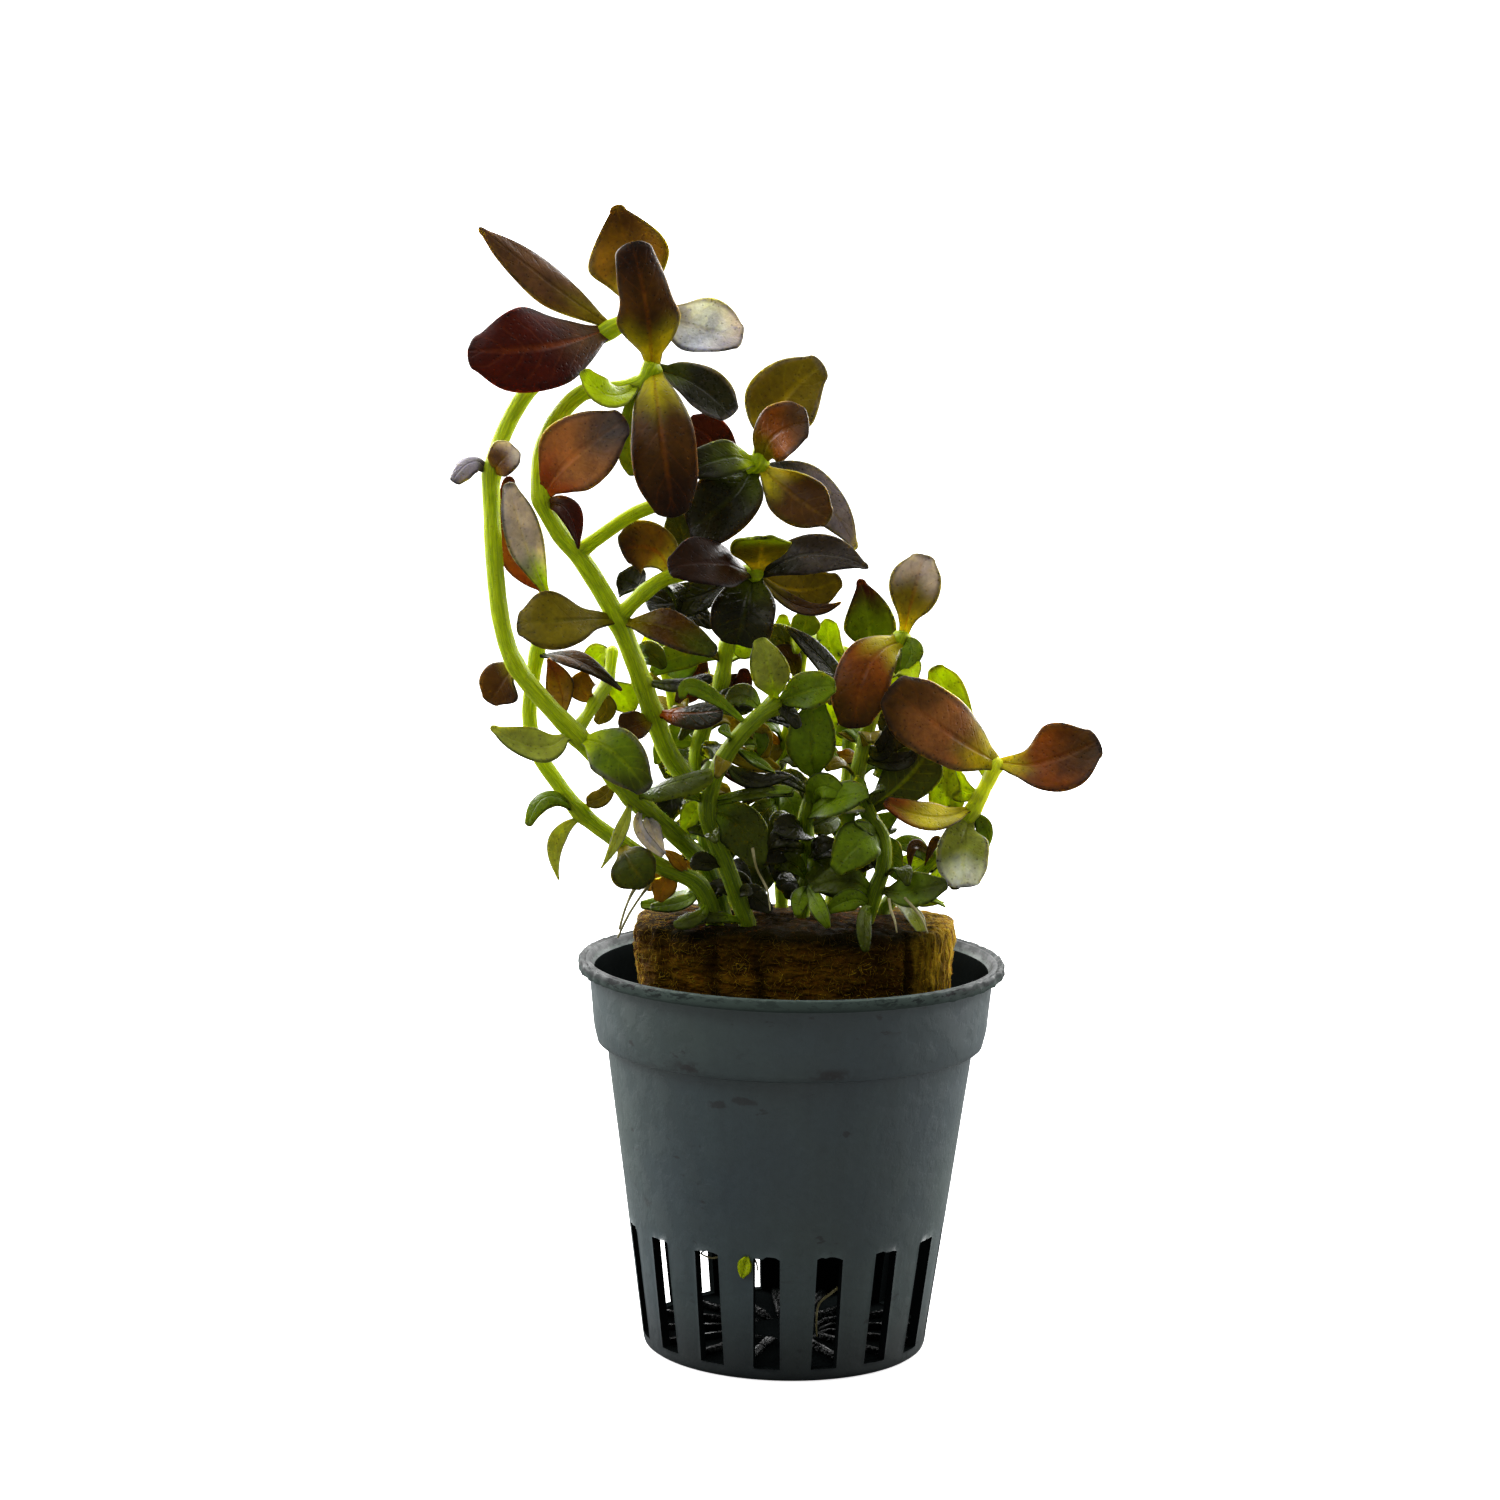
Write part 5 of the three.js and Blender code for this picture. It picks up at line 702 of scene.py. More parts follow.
def stem_material():
    material, here = start_material('stem_skin', 0.14, 0.9, 0.0035, (1.0, 0.95, 0.2))
    turn = own(here.tree, 'around') * (2 * math.pi)
    wrapped = together(here.tree, turn.maths('SINE'), turn.maths('COSINE'), own(here.tree, 'along'))
    lines = streaks_at(wrapped, (5.0, 5.0, 260.0), 3.0)
    fine = streaks_at(wrapped, (13.0, 13.0, 900.0), 2.0)
    x, _, z = here.axes()
    # Painted shade: low down in the middle of the plant the stems are painted a darker green, where less
    # light reaches them.
    low = (z + abs(x).line(0.0, 0.04, 0.008, 0.034)).ramp(0.064, 0.106, 1.0, 0.0)
    bright, deep = (put(here.tree, 'ShaderNodeMix', {0: lines, 6: first, 7: second}, 2, data_type='RGBA')
                    for first, second in (('8ca206', 'b0c00e'), ('4e6404', '748a08')))
    colour = bright.painted(low, deep).painted(x.ramp(0.018, 0.026, 0.0, 0.8), 'dce63c')
    colour = colour.painted(here.cells(900.0).ramp(0.06, 0.2, 1.0, 0.0) * 0.35, '5f5a10')
    colour = colour.lit(fine.line(0.82, 1.15))
    return finished(material, colour, fine.line(0.36, 0.56), fine * 0.4 + lines, 0.00012, 0.6)


def hair_material(name, first, second, through, gloss=0.12, on_plug=False):
    material, here = start_material(name, gloss, through)
    out = blotches_at(here, first, second, 500.0, 0.6, 2600.0, 0.25)
    colour = out['Colour']
    if on_plug:
        x, _, z = here.axes()
        # Painted shade: the fibres on the middle of the top are near black, for the plants' shade with some
        # real algae, and the fold creases carry painted shade.
        middle = abs(x).ramp(0.013, 0.019, 1.0, 0.0) * z.ramp(0.0535, 0.0555, 0.0, 0.92)
        colour = colour.painted(middle, '141404').painted(group_at(here, 'folds')['Share'], '1c1203')
    return finished(material, colour, out['Height'].line(0.4, 0.75, 0.2, 0.8), out['Height'], 0.00005, 0.5)


def rockwool_material():
    material, here = start_material('rockwool', 0.03, 0.15)
    out = blotches_at(here, '2e1a02', '6c4404', 170.0, 0.35, 1700.0, 0.5)
    level = streaks_at(here, (480.0, 480.0, 1300.0), 4.0)
    upright = streaks_at(here, (1500.0, 1500.0, 170.0), 4.0)
    x, _, z = here.axes()
    right = x.ramp(0.0135, 0.017)
    lines = put(here.tree, 'ShaderNodeMix', {0: right, 2: level, 3: upright})
    bands = streaks_at(here, (70.0, 70.0, 190.0), 3.0)
    dark = (out['Share'] * 0.006 + z).ramp(0.042, 0.053, 0.75, 0.0)
    # Painted shade: the top, most of all its middle, is painted near black for the plants' shade over it,
    # with some real algae; the fold creases below carry painted shade.
    wet = (out['Share'] * 0.0024 + z).ramp(0.0545, 0.0562) * abs(x).ramp(0.014, 0.02, 1.0, 0.3)
    colour = out['Colour'].painted(lines * 0.35, '8e6c12').painted(bands.ramp(0.1, 0.7, 0.6, 0.0), '1e1002')
    colour = colour.painted(right * upright.ramp(0.15, 0.8, 0.2, 0.95), 'c09a24').painted(dark, '1e1206')
    colour = colour.painted(group_at(here, 'folds')['Share'], '140c02').painted(wet * 0.9, '0c0e02')
    return finished(material, colour, lines.line(0.7, 0.95), out['Height'] * 0.8 + lines, 0.0004, 0.9)


# Dark smudges on the front of the pot: across, up, half width and half height, in metres
SMUDGES = [(-0.0086, 0.0357, 0.0013, 0.0007), (-0.0051, 0.0365, 0.0017, 0.0005),
           (0.0072, 0.0325, 0.0008, 0.0004), (-0.0176, 0.0209, 0.0007, 0.0006)]
# Cracked stretches of the seam under the ledge: across, and half the width, in metres
CRACKS = [(-0.0122, 0.0032), (0.0051, 0.0042)]
LEDGE_SEAM = 0.0404


def soiled(colour, here):
    """The pot's colour with its dirt and its painted light: specks, cracks, smudges and dark wear on the
    rim, a painted green-grey highlight on the lip, painted shade on the rim's top and a foot in painted
    shade.
    """
    x, y, z = here.axes()
    few = here.stretched((1.0, 1.0, 2.4)).grain(420.0, 4.0).ramp(0.63, 0.69)
    colour = colour.painted(few * here.grain(90.0).ramp(0.5, 0.62) * 0.75, '15191a')
    left, right = (abs(x - middle).ramp(0.0, half, 1.0, 0.0) for middle, half in CRACKS)
    seam = abs(z - LEDGE_SEAM).ramp(0.0002, 0.0011, 1.0, 0.0) * left.or_more(right)
    colour = colour.painted(seam * here.grain(900.0, 4.0).ramp(0.35, 0.55) * 0.95, '0a0c0d')
    wander = (here.grain(800.0, 4.0) - 0.5) * 0.0042
    for across, up, long, tall in SMUDGES:
        off = ((x - across) / long).maths('POWER', 2.0) + ((z - up) / tall).maths('POWER', 2.0)
        off = off.maths('SQRT') + wander / long
        smudge = off.ramp(0.5, 1.1, 0.75, 0.0) * y.ramp(-0.012, -0.01, 1.0, 0.0)
        colour = colour.painted(smudge, '15191a')
    colour = colour.lit(streaks_at(here, (520.0, 520.0, 24.0), 3.0).line(0.95, 1.06))
    # Painted highlight: a lighter green-grey band along the lip of the rim.
    colour = colour.painted(z.ramp(0.0478, 0.0494) * 0.5, '5c6c63')
    worn = here.stretched((1.0, 1.0, 3.0)).grain(620.0, 4.0, 0.65).ramp(0.5, 0.6) * z.ramp(0.0484, 0.0496)
    colour = colour.painted(worn * abs(x).ramp(0.006, 0.02, 0.35, 1.0), '0c0e0e')
    # Painted shade: the rim's top is painted darker at the sides and at the back.
    aside = abs(x).ramp(0.014, 0.024, 0.0, 0.88).or_more(y.ramp(0.0, 0.01, 0.0, 0.92))
    colour = colour.painted(aside * z.ramp(0.0488, 0.0496), '141818')
    # Painted shade: darker towards the foot.
    return colour.painted(z.ramp(0.0, 0.012, 0.75, 0.0), '0c1011')


def pot_material(name, first, second, rough, gloss, with_dirt_and_light=False):
    material, here = start_material(name, gloss)
    out = blotches_at(here, first, second, 42.0, 0.15, 900.0, 0.08)
    specks = blotches_at(here, first, '14181a', 330.0, 0.85, 2000.0, 0.1)['Share']
    colour = soiled(out['Colour'], here) if with_dirt_and_light else out['Colour']
    wet = gloss and not with_dirt_and_light
    return finished(material, colour, specks.line(rough, rough + 0.12), out['Height'] * 0.4 + specks,
                    0.0005 if wet else 0.00006, 1.0 if wet else 0.5)


NUMBERS = ('across', 'along', 'around', 'wet')
COLOURS = ('tint', 'rib', 'rim')
MATERIALS = {
    'leaf': leaf_material('leaf_skin_thin', 0.8, 0.16, 0.95, 0.12, 0.00026),
    'leaf_wet': leaf_material('leaf_skin_wet', 0.7, 0.2, 0.9, 0.14, 0.0005),
    'stem': stem_material(),
    'hair': hair_material('stem_down', 'a9c626', 'd4dd7a', 0.6),
    'root': hair_material('root_skin', 'b4ac80', '7c7448', 0.0),
    'fibre': hair_material('rockwool_fibre', '6a4a08', 'd4a82c', 0.15, 0.03, True),
    'rockwool': rockwool_material(),
    'pot': pot_material('pot_plastic', '32434b', '3c4c47', 0.36, 1.0, True),
    # Painted shade: the inside and the wet floor are the pot's plastic painted near black for the shade
    # within the pot, and the rim is painted a little darker than the wall against the light from behind.
    'pot_inside': pot_material('pot_plastic_inside_painted_shade', '0a0c0c', '121616', 0.5, 0.0),
    'pot_floor': pot_material('pot_plastic_wet_painted_shade', '070908', '0a0d0c', 0.24, 0.008),
    'pot_rim': pot_material('pot_plastic_rim_painted_shade', '2c363a', '343f3c', 0.5, 0.1, True),
}


# Trees of Geometry Nodes

def named(tree, name):
    return put(tree, 'GeometryNodeInputNamedAttribute', {'Name': name}, data_type='FLOAT')


def stored(geometry, name, value):
    return put(geometry.tree, 'GeometryNodeStoreNamedAttribute', {
        'Geometry': geometry, 'Name': name, 'Value': value}, data_type='FLOAT', domain='POINT')


def clothed(tree, geometry, material):
    """The geometry as one plain mesh in its material: the end of every tree."""
    whole = put(tree, 'GeometryNodeRealizeInstances', {'Geometry': geometry})
    return [put(tree, 'GeometryNodeSetMaterial', {'Geometry': whole, 'Material': material})]


def strewn(tree, g, piece, lean, size):
    """The piece at random points of the skin, standing on it and turned by lean."""
    spread = node_in(tree, 'GeometryNodeDistributePointsOnFaces', {
        'Mesh': g['Geometry'], 'Density': g['Density'], 'Seed': g['Seed']}).outputs
    turned = put(tree, 'FunctionNodeRotateRotation', {
        'Rotation': Value(spread['Rotation']), 'Rotate By': lean}, rotation_space='LOCAL')
    placed = put(tree, 'GeometryNodeInstanceOnPoints', {
        'Points': Value(spread['Points']), 'Instance': piece, 'Rotation': turned, 'Scale': size})
    return clothed(tree, placed, g['Material'])


def random_way(tree, low, high):
    return put(tree, 'FunctionNodeRandomValue', {'Min': low, 'Max': high}, data_type='FLOAT_VECTOR')


def random_share(tree, low, high):
    return put(tree, 'FunctionNodeRandomValue', {2: low, 3: high}, 1, data_type='FLOAT')


def tube_tree(tree, g):
    """A grooved tube along each path, with coordinates along it and around it."""
    path = put(tree, 'GeometryNodeMeshToCurve', {'Mesh': g['Geometry']})
    width = named(tree, 'radius')
    path = stored(path, 'along', put(tree, 'GeometryNodeSplineParameter', None, 'Length'))
    ring = put(tree, 'GeometryNodeCurvePrimitiveCircle', {'Resolution': g['Sides'], 'Radius': 1.0})
    ring = stored(ring, 'around', put(tree, 'GeometryNodeSplineParameter', None, 'Factor'))
    tube = put(tree, 'GeometryNodeCurveToMesh', {
        'Curve': path, 'Profile Curve': ring, 'Scale': width, 'Fill Caps': True})
    wave = (named(tree, 'around') * (g['Grooves'] * (2 * math.pi))).maths('COSINE') * g['Groove Depth']
    normal = put(tree, 'GeometryNodeInputNormal')
    out = put(tree, 'ShaderNodeVectorMath', {0: normal, 'Scale': wave}, operation='SCALE')
    moved = put(tree, 'GeometryNodeSetPosition', {'Geometry': tube, 'Offset': out})
    return clothed(tree, moved, g['Material'])


def down_tree(tree, g):
    """Short tapering hairs over a skin."""
    hair = put(tree, 'GeometryNodeMeshCone', {
        'Vertices': 3, 'Radius Top': 0.0, 'Radius Bottom': 1.0, 'Depth': 1.0})
    lean = random_way(tree, (-0.5, -0.5, -3.1), (0.5, 0.5, 3.1))
    size = together(tree, g['Width'], g['Width'], random_share(tree, 0.5, 1.3) * g['Length'])
    return strewn(tree, g, hair, lean, size)


def fibre_tree(tree, g):
    """Curved fibres that lie on a skin and lift a little from it."""
    arc = put(tree, 'GeometryNodeCurveQuadraticBezier', {
        'Resolution': 3, 'Start': (-0.5, 0.0, -0.1), 'Middle': (0.05, 0.1, 0.3), 'End': (0.5, 0.0, 0.0)})
    ring = put(tree, 'GeometryNodeCurvePrimitiveCircle', {'Resolution': 3, 'Radius': 0.017})
    fibre = put(tree, 'GeometryNodeCurveToMesh', {
        'Curve': arc, 'Profile Curve': ring, 'Fill Caps': True})
    low = together(tree, g['Lift'] * -1.0, g['Lift'] * -1.0, -3.1)
    high = together(tree, g['Lift'], g['Lift'], 3.1)
    lean = random_way(tree, low, high)
    return strewn(tree, g, fibre, lean, random_share(tree, 0.45, 1.2) * g['Length'])


def round_tree(tree, g):
    """The given geometry repeated at equal turns round the Z axis."""
    line = put(tree, 'GeometryNodeMeshLine', {'Count': g['Count'], 'Offset': (0.0, 0.0, 0.0)})
    step = put(tree, 'ShaderNodeMath', {0: 2 * math.pi, 1: g['Count']}, operation='DIVIDE')
    turn = put(tree, 'GeometryNodeInputIndex') * step + g['First Turn']
    placed = put(tree, 'GeometryNodeInstanceOnPoints', {
        'Points': line, 'Instance': g['Geometry'], 'Rotation': together(tree, 0.0, 0.0, turn)})
    return clothed(tree, placed, g['Material'])


def growing_tree(name, build, **inputs):
    inputs = {label.replace('_', ' '): start for label, start in inputs.items()}
    inputs = {'Geometry': 'skin', **inputs, 'Material': 'material'}
    return new_tree('GeometryNodeTree', name, inputs, 'Geometry', build)


TREES = {
    'tube': growing_tree('tube_along_a_path', tube_tree, Sides=18, Grooves=7.0, Groove_Depth=0.00004),
    'down': growing_tree('down_over_a_skin', down_tree, Density=1e6, Length=0.0003, Width=0.00002, Seed=1),
    'fibres': growing_tree('fibres_over_a_skin', fibre_tree, Density=1e6, Length=0.003, Lift=0.3, Seed=1),
    'round': growing_tree('repeat_round_the_axis', round_tree, Count=14, First_Turn=0.0),
}


def grown(source, key, material, **values):
    """The source object's mesh after its tree, as a plain mesh. The source is taken away."""
    values = {label.replace('_', ' '): value for label, value in values.items()}
    values['Material'] = MATERIALS[material]
    modifier = source.modifiers.new('grow', 'NODES')
    modifier.node_group = TREES[key]
    for item in TREES[key].interface.items_tree:
        if item.item_type == 'SOCKET' and item.in_out == 'INPUT' and item.name in values:
            modifier[item.identifier] = values[item.name]
    view = bpy.context.evaluated_depsgraph_get()
    mesh = bpy.data.meshes.new_from_object(source.evaluated_get(view))
    source.modifiers.remove(modifier)
    bpy.data.objects.remove(source)
    return mesh


def plain_object(name, places, faces=(), edges=(), **attributes):
    mesh = bpy.data.meshes.new(name)
    mesh.from_pydata([tuple(p) for p in places], [tuple(e) for e in edges], [tuple(f) for f in faces])
    for label, values in attributes.items():
        made = mesh.attributes.new(label, 'FLOAT', 'POINT')
        made.data.foreach_set('value', np.asarray(values, np.float32))
    obj = bpy.data.objects.new(name, mesh)
    scene.collection.objects.link(obj)
    return obj


# Meshes are gathered as parts and joined: each part has its corners, faces, its material's place in
# the list, and the numbers and colours of its corners.

def part_of(mesh):
    """A mesh's corners and faces as a part."""
    places = np.empty(len(mesh.vertices) * 3)
    mesh.vertices.foreach_get('co', places)
    part = {'places': places.reshape(-1, 3), 'faces': [tuple(f.vertices) for f in mesh.polygons],
            'material': 0}
    for label in NUMBERS:
        if label in mesh.attributes and mesh.attributes[label].domain == 'POINT':
            values = np.empty(len(mesh.vertices), np.float32)
            mesh.attributes[label].data.foreach_get('value', values)
            part[label] = values
    return part


def joined(name, parts, materials):
    """One object from the parts, with smooth faces."""
    mesh = bpy.data.meshes.new(name)
    places, faces, kinds, start = [], [], [], 0
    for part in parts:
        places.append(part['places'])
        faces += [tuple(corner + start for corner in face) for face in part['faces']]
        kinds += [part['material']] * len(part['faces'])
        start += len(part['places'])
    mesh.from_pydata(np.concatenate(places).tolist(), [], faces)
    for label in NUMBERS:
        made = mesh.attributes.new(label, 'FLOAT', 'POINT')
        values = [part.get(label, np.zeros(len(part['places']))) for part in parts]
        made.data.foreach_set('value', np.concatenate(values).astype(np.float32))
    for label in COLOURS:
        made = mesh.attributes.new(label, 'FLOAT_COLOR', 'POINT')
        values = [part.get(label, np.ones((len(part['places']), 4))) for part in parts]
        made.data.foreach_set('color', np.concatenate(values).astype(np.float32).ravel())
    for material in materials:
        mesh.materials.append(MATERIALS[material])
    mesh.polygons.foreach_set('material_index', kinds)
    mesh.polygons.foreach_set('use_smooth', [True] * len(mesh.polygons))
    mesh.validate()
    obj = bpy.data.objects.new(name, mesh)
    scene.collection.objects.link(obj)
    return obj


def place_piece(obj, slot, *nodes):
    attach(obj, 'root')
    if nodes:
        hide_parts(*nodes)


# Leaves

# The share of a leaf's length that runs inside its stem, and the width from which its mesh is fine
STALK = 0.3
BROAD = 4.4
# How thick the large and the small leaves are, and how far a large leaf's base stands off its stem
THICK = 0.5
THIN = 0.42
STAND_OFF = 0.7
# The seed of a leaf or stem stays below this number
SEEDS = 977


def width_at(outline, along):
    """The outline's share of the full width, smooth between its places and rounded at the tip."""
    places, shares = np.array(OUTLINES[outline], float).T
    slopes = np.gradient(shares, places)
    spot = np.clip(np.searchsorted(places, along, side='right') - 1, 0, len(places) - 2)
    span = places[spot + 1] - places[spot]
    u = np.clip((along - places[spot]) / span, 0, 1)
    value = ((2 * u ** 3 - 3 * u ** 2 + 1) * shares[spot] + (u ** 3 - 2 * u ** 2 + u) * span * slopes[spot]
             + (-2 * u ** 3 + 3 * u ** 2) * shares[spot + 1] + (u ** 3 - u ** 2) * span * slopes[spot + 1])
    past = np.clip((along - places[-1]) / (1 - places[-1]), 0, 1)
    return np.where(along > places[-1], shares[-1] * np.sqrt(np.clip(1 - past ** 2.2, 0, 1)), value)


def seed_of(words):
    return sum((i + 1) * ord(letter) for i, letter in enumerate(words)) % SEEDS


def leaf_part(name, start, reach, row, thick, wet):
    """One leaf as a closed blade from inside its stem to its tip."""
    _, _, bend, tip, width, outline, face, lift, look = row
    bend, tip = seen(bend), seen(tip)
    away = (bend - start) / np.linalg.norm(bend - start)
    base = start + away * reach
    handle = 2 * bend - 0.5 * base - 0.5 * tip
    seed = seed_of(name + outline + look) + 7.3 * start[0] + 3.1 * tip[2]
    rows, cols = (34, 14) if width > BROAD else (22, 10)
    blade = 0.5 - 0.5 * np.cos(np.linspace(0.0, np.pi, rows))
    along = np.concatenate([np.linspace(-STALK, -0.06, 4), blade])
    t = np.clip(along, 0, 1)[:, None]
    centre = (1 - t) ** 2 * base + 2 * t * (1 - t) * handle + t ** 2 * tip
    inside = np.clip(-along / STALK, 0, 1)[:, None]
    centre = centre + (start - base) * inside
    ahead = 2 * (1 - t) * (handle - base) + 2 * t * (tip - handle)
    ahead /= np.linalg.norm(ahead, axis=1, keepdims=True)
    side = np.cross(ahead, np.array(face, float))
    side /= np.linalg.norm(side, axis=1, keepdims=True)
    normal = np.cross(side, ahead)
    share = width_at(outline, t[:, 0]) * (1 - 0.35 * inside[:, 0])
    half = share * width / 2
    across = np.sin(np.linspace(-np.pi / 2, np.pi / 2, cols + 1))
    s = across[None, :]
    a = np.abs(s)
    h = half[:, None]
    phase = seed % 6.28
    waves = 0.035 * width * a ** 3 * np.sin(9.5 * t + phase + 2.2 * np.sign(s)) * smooth(0.0, 0.3, t)
    cup = lift * h * a ** 1.7
    groove = -0.11 * np.exp(-(s / 0.11) ** 2) * (1 - t) ** 0.4
    pucker = np.array([[noise.noise(Vector((seed + 1.1 * hh * ss, 4.3 * tt * width / 5, seed * 0.3)))
                        for ss in across] for tt, hh in zip(t[:, 0], half)]) * 0.16 * (1 - a ** 4)
    body = thick / 2 * np.sqrt(np.clip(1 - a ** 8, 0, 1)) * np.clip(share * 3.5, 0.25, 1)[:, None]
    rise = cup + waves + pucker
    wobble = 1 + 0.035 * np.sin(7.0 * t + phase * 1.7 + 1.9 * np.sign(s)) * smooth(0.1, 0.4, t)
    flat = centre[:, None, :] + side[:, None, :] * (h * s * wobble)[..., None]
    top = flat + normal[:, None, :] * (rise + body + groove * smooth(0.0, 0.25, share)[:, None])[..., None]
    under = flat + normal[:, None, :] * (rise - body)[..., None]
    count = len(along)
    point = centre[-1:] + normal[-1:] * rise[-1:, :1]
    places = np.concatenate([top[:-1].reshape(-1, 3), under[:-1, 1:-1].reshape(-1, 3), point])
    width_n, inner = cols + 1, cols - 1
    first_under = (count - 1) * width_n
    last = len(places) - 1

    def up(i, j):
        return i * width_n + j

    def down(i, j):
        if j in (0, cols):
            return up(i, j)
        return first_under + i * inner + j - 1

    faces = []
    for i in range(count - 2):
        for j in range(cols):
            faces.append((up(i, j), up(i, j + 1), up(i + 1, j + 1), up(i + 1, j)))
            faces.append((down(i, j + 1), down(i, j), down(i + 1, j), down(i + 1, j + 1)))
    for j in range(cols):
        faces.append((up(count - 2, j), up(count - 2, j + 1), last))
        faces.append((down(count - 2, j + 1), down(count - 2, j), last))
        faces.append(tuple(dict.fromkeys((up(0, j + 1), up(0, j), down(0, j), down(0, j + 1)))))
    along_grid = np.repeat(np.clip(along, 0, 1)[:, None], width_n, 1)
    across_grid = np.repeat(s, count, 0)
    base_c, middle_c, tip_c, rim_c, rib_c = (np.array(linear(TISSUE_AND_SHEEN[word])) for word in look.split())
    early = smooth(0.05, 0.42, along_grid + 0.05 * np.sin(5 * across_grid + phase))[..., None]
    late = smooth(0.5, 0.92, along_grid + 0.06 * np.sin(4 * across_grid + 2 * phase))[..., None]
    tint = base_c * (1 - early) + middle_c * early
    tint = tint * (1 - late) + tip_c * late

    def laid_out(grid):
        shape = grid.shape[2:]
        sides = (grid[:-1], grid[:-1, 1:-1], grid[-1:, cols // 2])
        return np.concatenate([side.reshape(-1, *shape) for side in sides])

    total = len(places)
    part = {'places': places * MM, 'faces': faces, 'material': 0, 'across': laid_out(across_grid),
            'along': laid_out(along_grid), 'tint': laid_out(tint), 'wet': np.full(total, wet),
            'rib': np.tile(rib_c, (total, 1)), 'rim': np.tile(rim_c, (total, 1))}
    return facing_out(part)


def facing_out(part):
    """Turns a closed part's faces round when they enclose a negative volume."""
    p = part['places'] - part['places'].mean(0)
    volume = 0.0
    for face in part['faces']:
        for b, c in zip(face[1:], face[2:]):
            volume += np.dot(p[face[0]], np.cross(p[b], p[c]))
    if volume < 0:
        part['faces'] = [face[::-1] for face in part['faces']]
    return part


# Stems

# The step along a stem's line, and how high above the plug's top the line begins
STEP = 0.35
CLEAR = 0.35


def stem_line(row):
    _, foot_radius, tip_radius, foot, places = row
    points = [seen(p) for p in places]
    if foot:
        points.insert(0, np.array([*foot, PLUG_TOP + CLEAR]))
    line, length = evenly(path_through(points), STEP)
    radius = foot_radius + (tip_radius - foot_radius) * length / length[-1]
    return line, length, radius


LINES = {row[0]: stem_line(row) for row in STEMS}
FORKS = {'shoot_high': 'stem_main', 'branch_middle': 'stem_main', 'shoot_left_low': 'stem_left'}


def leaving(stem, place):
    line, length, radius = LINES[stem]
    nearest = np.argmin(np.linalg.norm(appears(line) - np.array(place, float), axis=1))
    return line[nearest], radius[nearest], length[nearest]


def stalk_mesh(row):
    """The stem's tube, drawn out into the plug or its parent stem, thicker where leaves leave it."""
    name, foot = row[0], row[3]
    line, length, radius = LINES[name]
    line, radius = line.copy(), radius.copy()
    for stem, place, *_ in [leaf for _, leaf in LEAVES] + LEAFLETS:
        if stem == name:
            radius += 0.13 * np.exp(-((length - leaving(name, place)[2]) / 1.1) ** 2)
    seed = seed_of(name)
    radius *= 0.95 + 0.05 * np.array([noise.noise(Vector((seed, place * 0.35, 0))) for place in length])
    if foot:
        deep = np.linspace(4.0, 0.35, 10)[:, None]
        start = line[0] - deep * np.array([0, 0, 1.0])
        start_radius = radius[0] * np.linspace(0.8, 1.0, 10)
    else:
        parent = LINES[FORKS[name]][0]
        goal = parent[np.argmin(np.linalg.norm(parent - (2 * line[0] - line[8]), axis=1))]
        start = goal + np.linspace(0, 0.92, 8)[:, None] * (line[0] - goal)
        start_radius = radius[0] * np.linspace(1.25, 1.02, 8)
    end = (line[-1] - line[-4]) / np.linalg.norm(line[-1] - line[-4])
    tip = line[-1] + np.array([[0.3], [0.6], [0.8]]) * end
    tip_radius = radius[-1] * np.array([0.9, 0.6, 0.25])
    places = np.concatenate([start, line, tip]) * MM
    widths = np.concatenate([start_radius, radius, tip_radius]) * MM
    edges = [(i, i + 1) for i in range(len(places) - 1)]
    source = plain_object(name + '_line', places, edges=edges, radius=widths)
    return grown(source, 'tube', 'stem', Sides=18, Grooves=6.0, Groove_Depth=0.00003)


for name, row in LEAVES:
    spot, radius, _ = leaving(*row[:2])
    wet = WET.get(name, 0.2)
    part = leaf_part(name, spot, radius + STAND_OFF, row, THICK, wet)
    piece = joined(name + '_grown', [part], ['leaf_wet' if wet > 0.6 else 'leaf'])
    slot = next(p['material_slot'] for p in frame['record']['subparts'] if p['node'] == name)
    place_piece(piece, slot, name)


def inner_pairs():
    """Opposite pairs of small leaves up the inner stems, each pair turned from the one below it."""
    rng = np.random.default_rng(23)
    made = []
    for stem, low, high, size in INNER:
        line = LINES[stem][0]
        spots = np.flatnonzero((line[:, 2] > low) & (line[:, 2] < high))
        turn = rng.uniform(0, np.pi)
        i = spots[0] + rng.integers(0, 6)
        while i < spots[-1]:
            ahead = line[i + 1] - line[i - 1]
            ahead /= np.linalg.norm(ahead)
            level = np.cross(ahead, [0, 1.0, 0])
            level /= np.linalg.norm(level)
            deep = np.cross(ahead, level)
            for way in (0, np.pi):
                angle = turn + way + rng.normal(0, 0.25)
                out = level * np.cos(angle) + deep * np.sin(angle)
                reach = size * rng.uniform(0.7, 1.2)
                bend = line[i] + (0.55 * out + 0.38 * ahead) * reach
                tip = line[i] + (0.95 * out + rng.uniform(-0.3, 0.5) * ahead) * reach
                face = 0.6 * ahead - 0.7 * out + np.array([0, -rng.uniform(0.2, 1.3), 0])
                # Painted shade: pairs lower on the stem get darker tissue words, from ink low down to lime
                # high up, for the shade deep in the plant.
                depth = (line[i][2] - 56) / 34 + rng.uniform(-0.25, 0.25)
                word = ('ink', 'moss', 'moss', 'leaf', 'olive', 'lime')[int(np.clip(depth * 6, 0, 5))]
                look = ' '.join([word] * 3 + ['moss' if word == 'ink' else 'leaf', word])
                made.append([stem, appears(line[i:i + 1])[0], appears_at(*bend), appears_at(*tip),
                             reach * rng.uniform(0.42, 0.6), 'oval', face, 0.15, look])
            turn += np.pi / 2 + rng.normal(0, 0.2)
            i += rng.integers(10, 15)
    return made


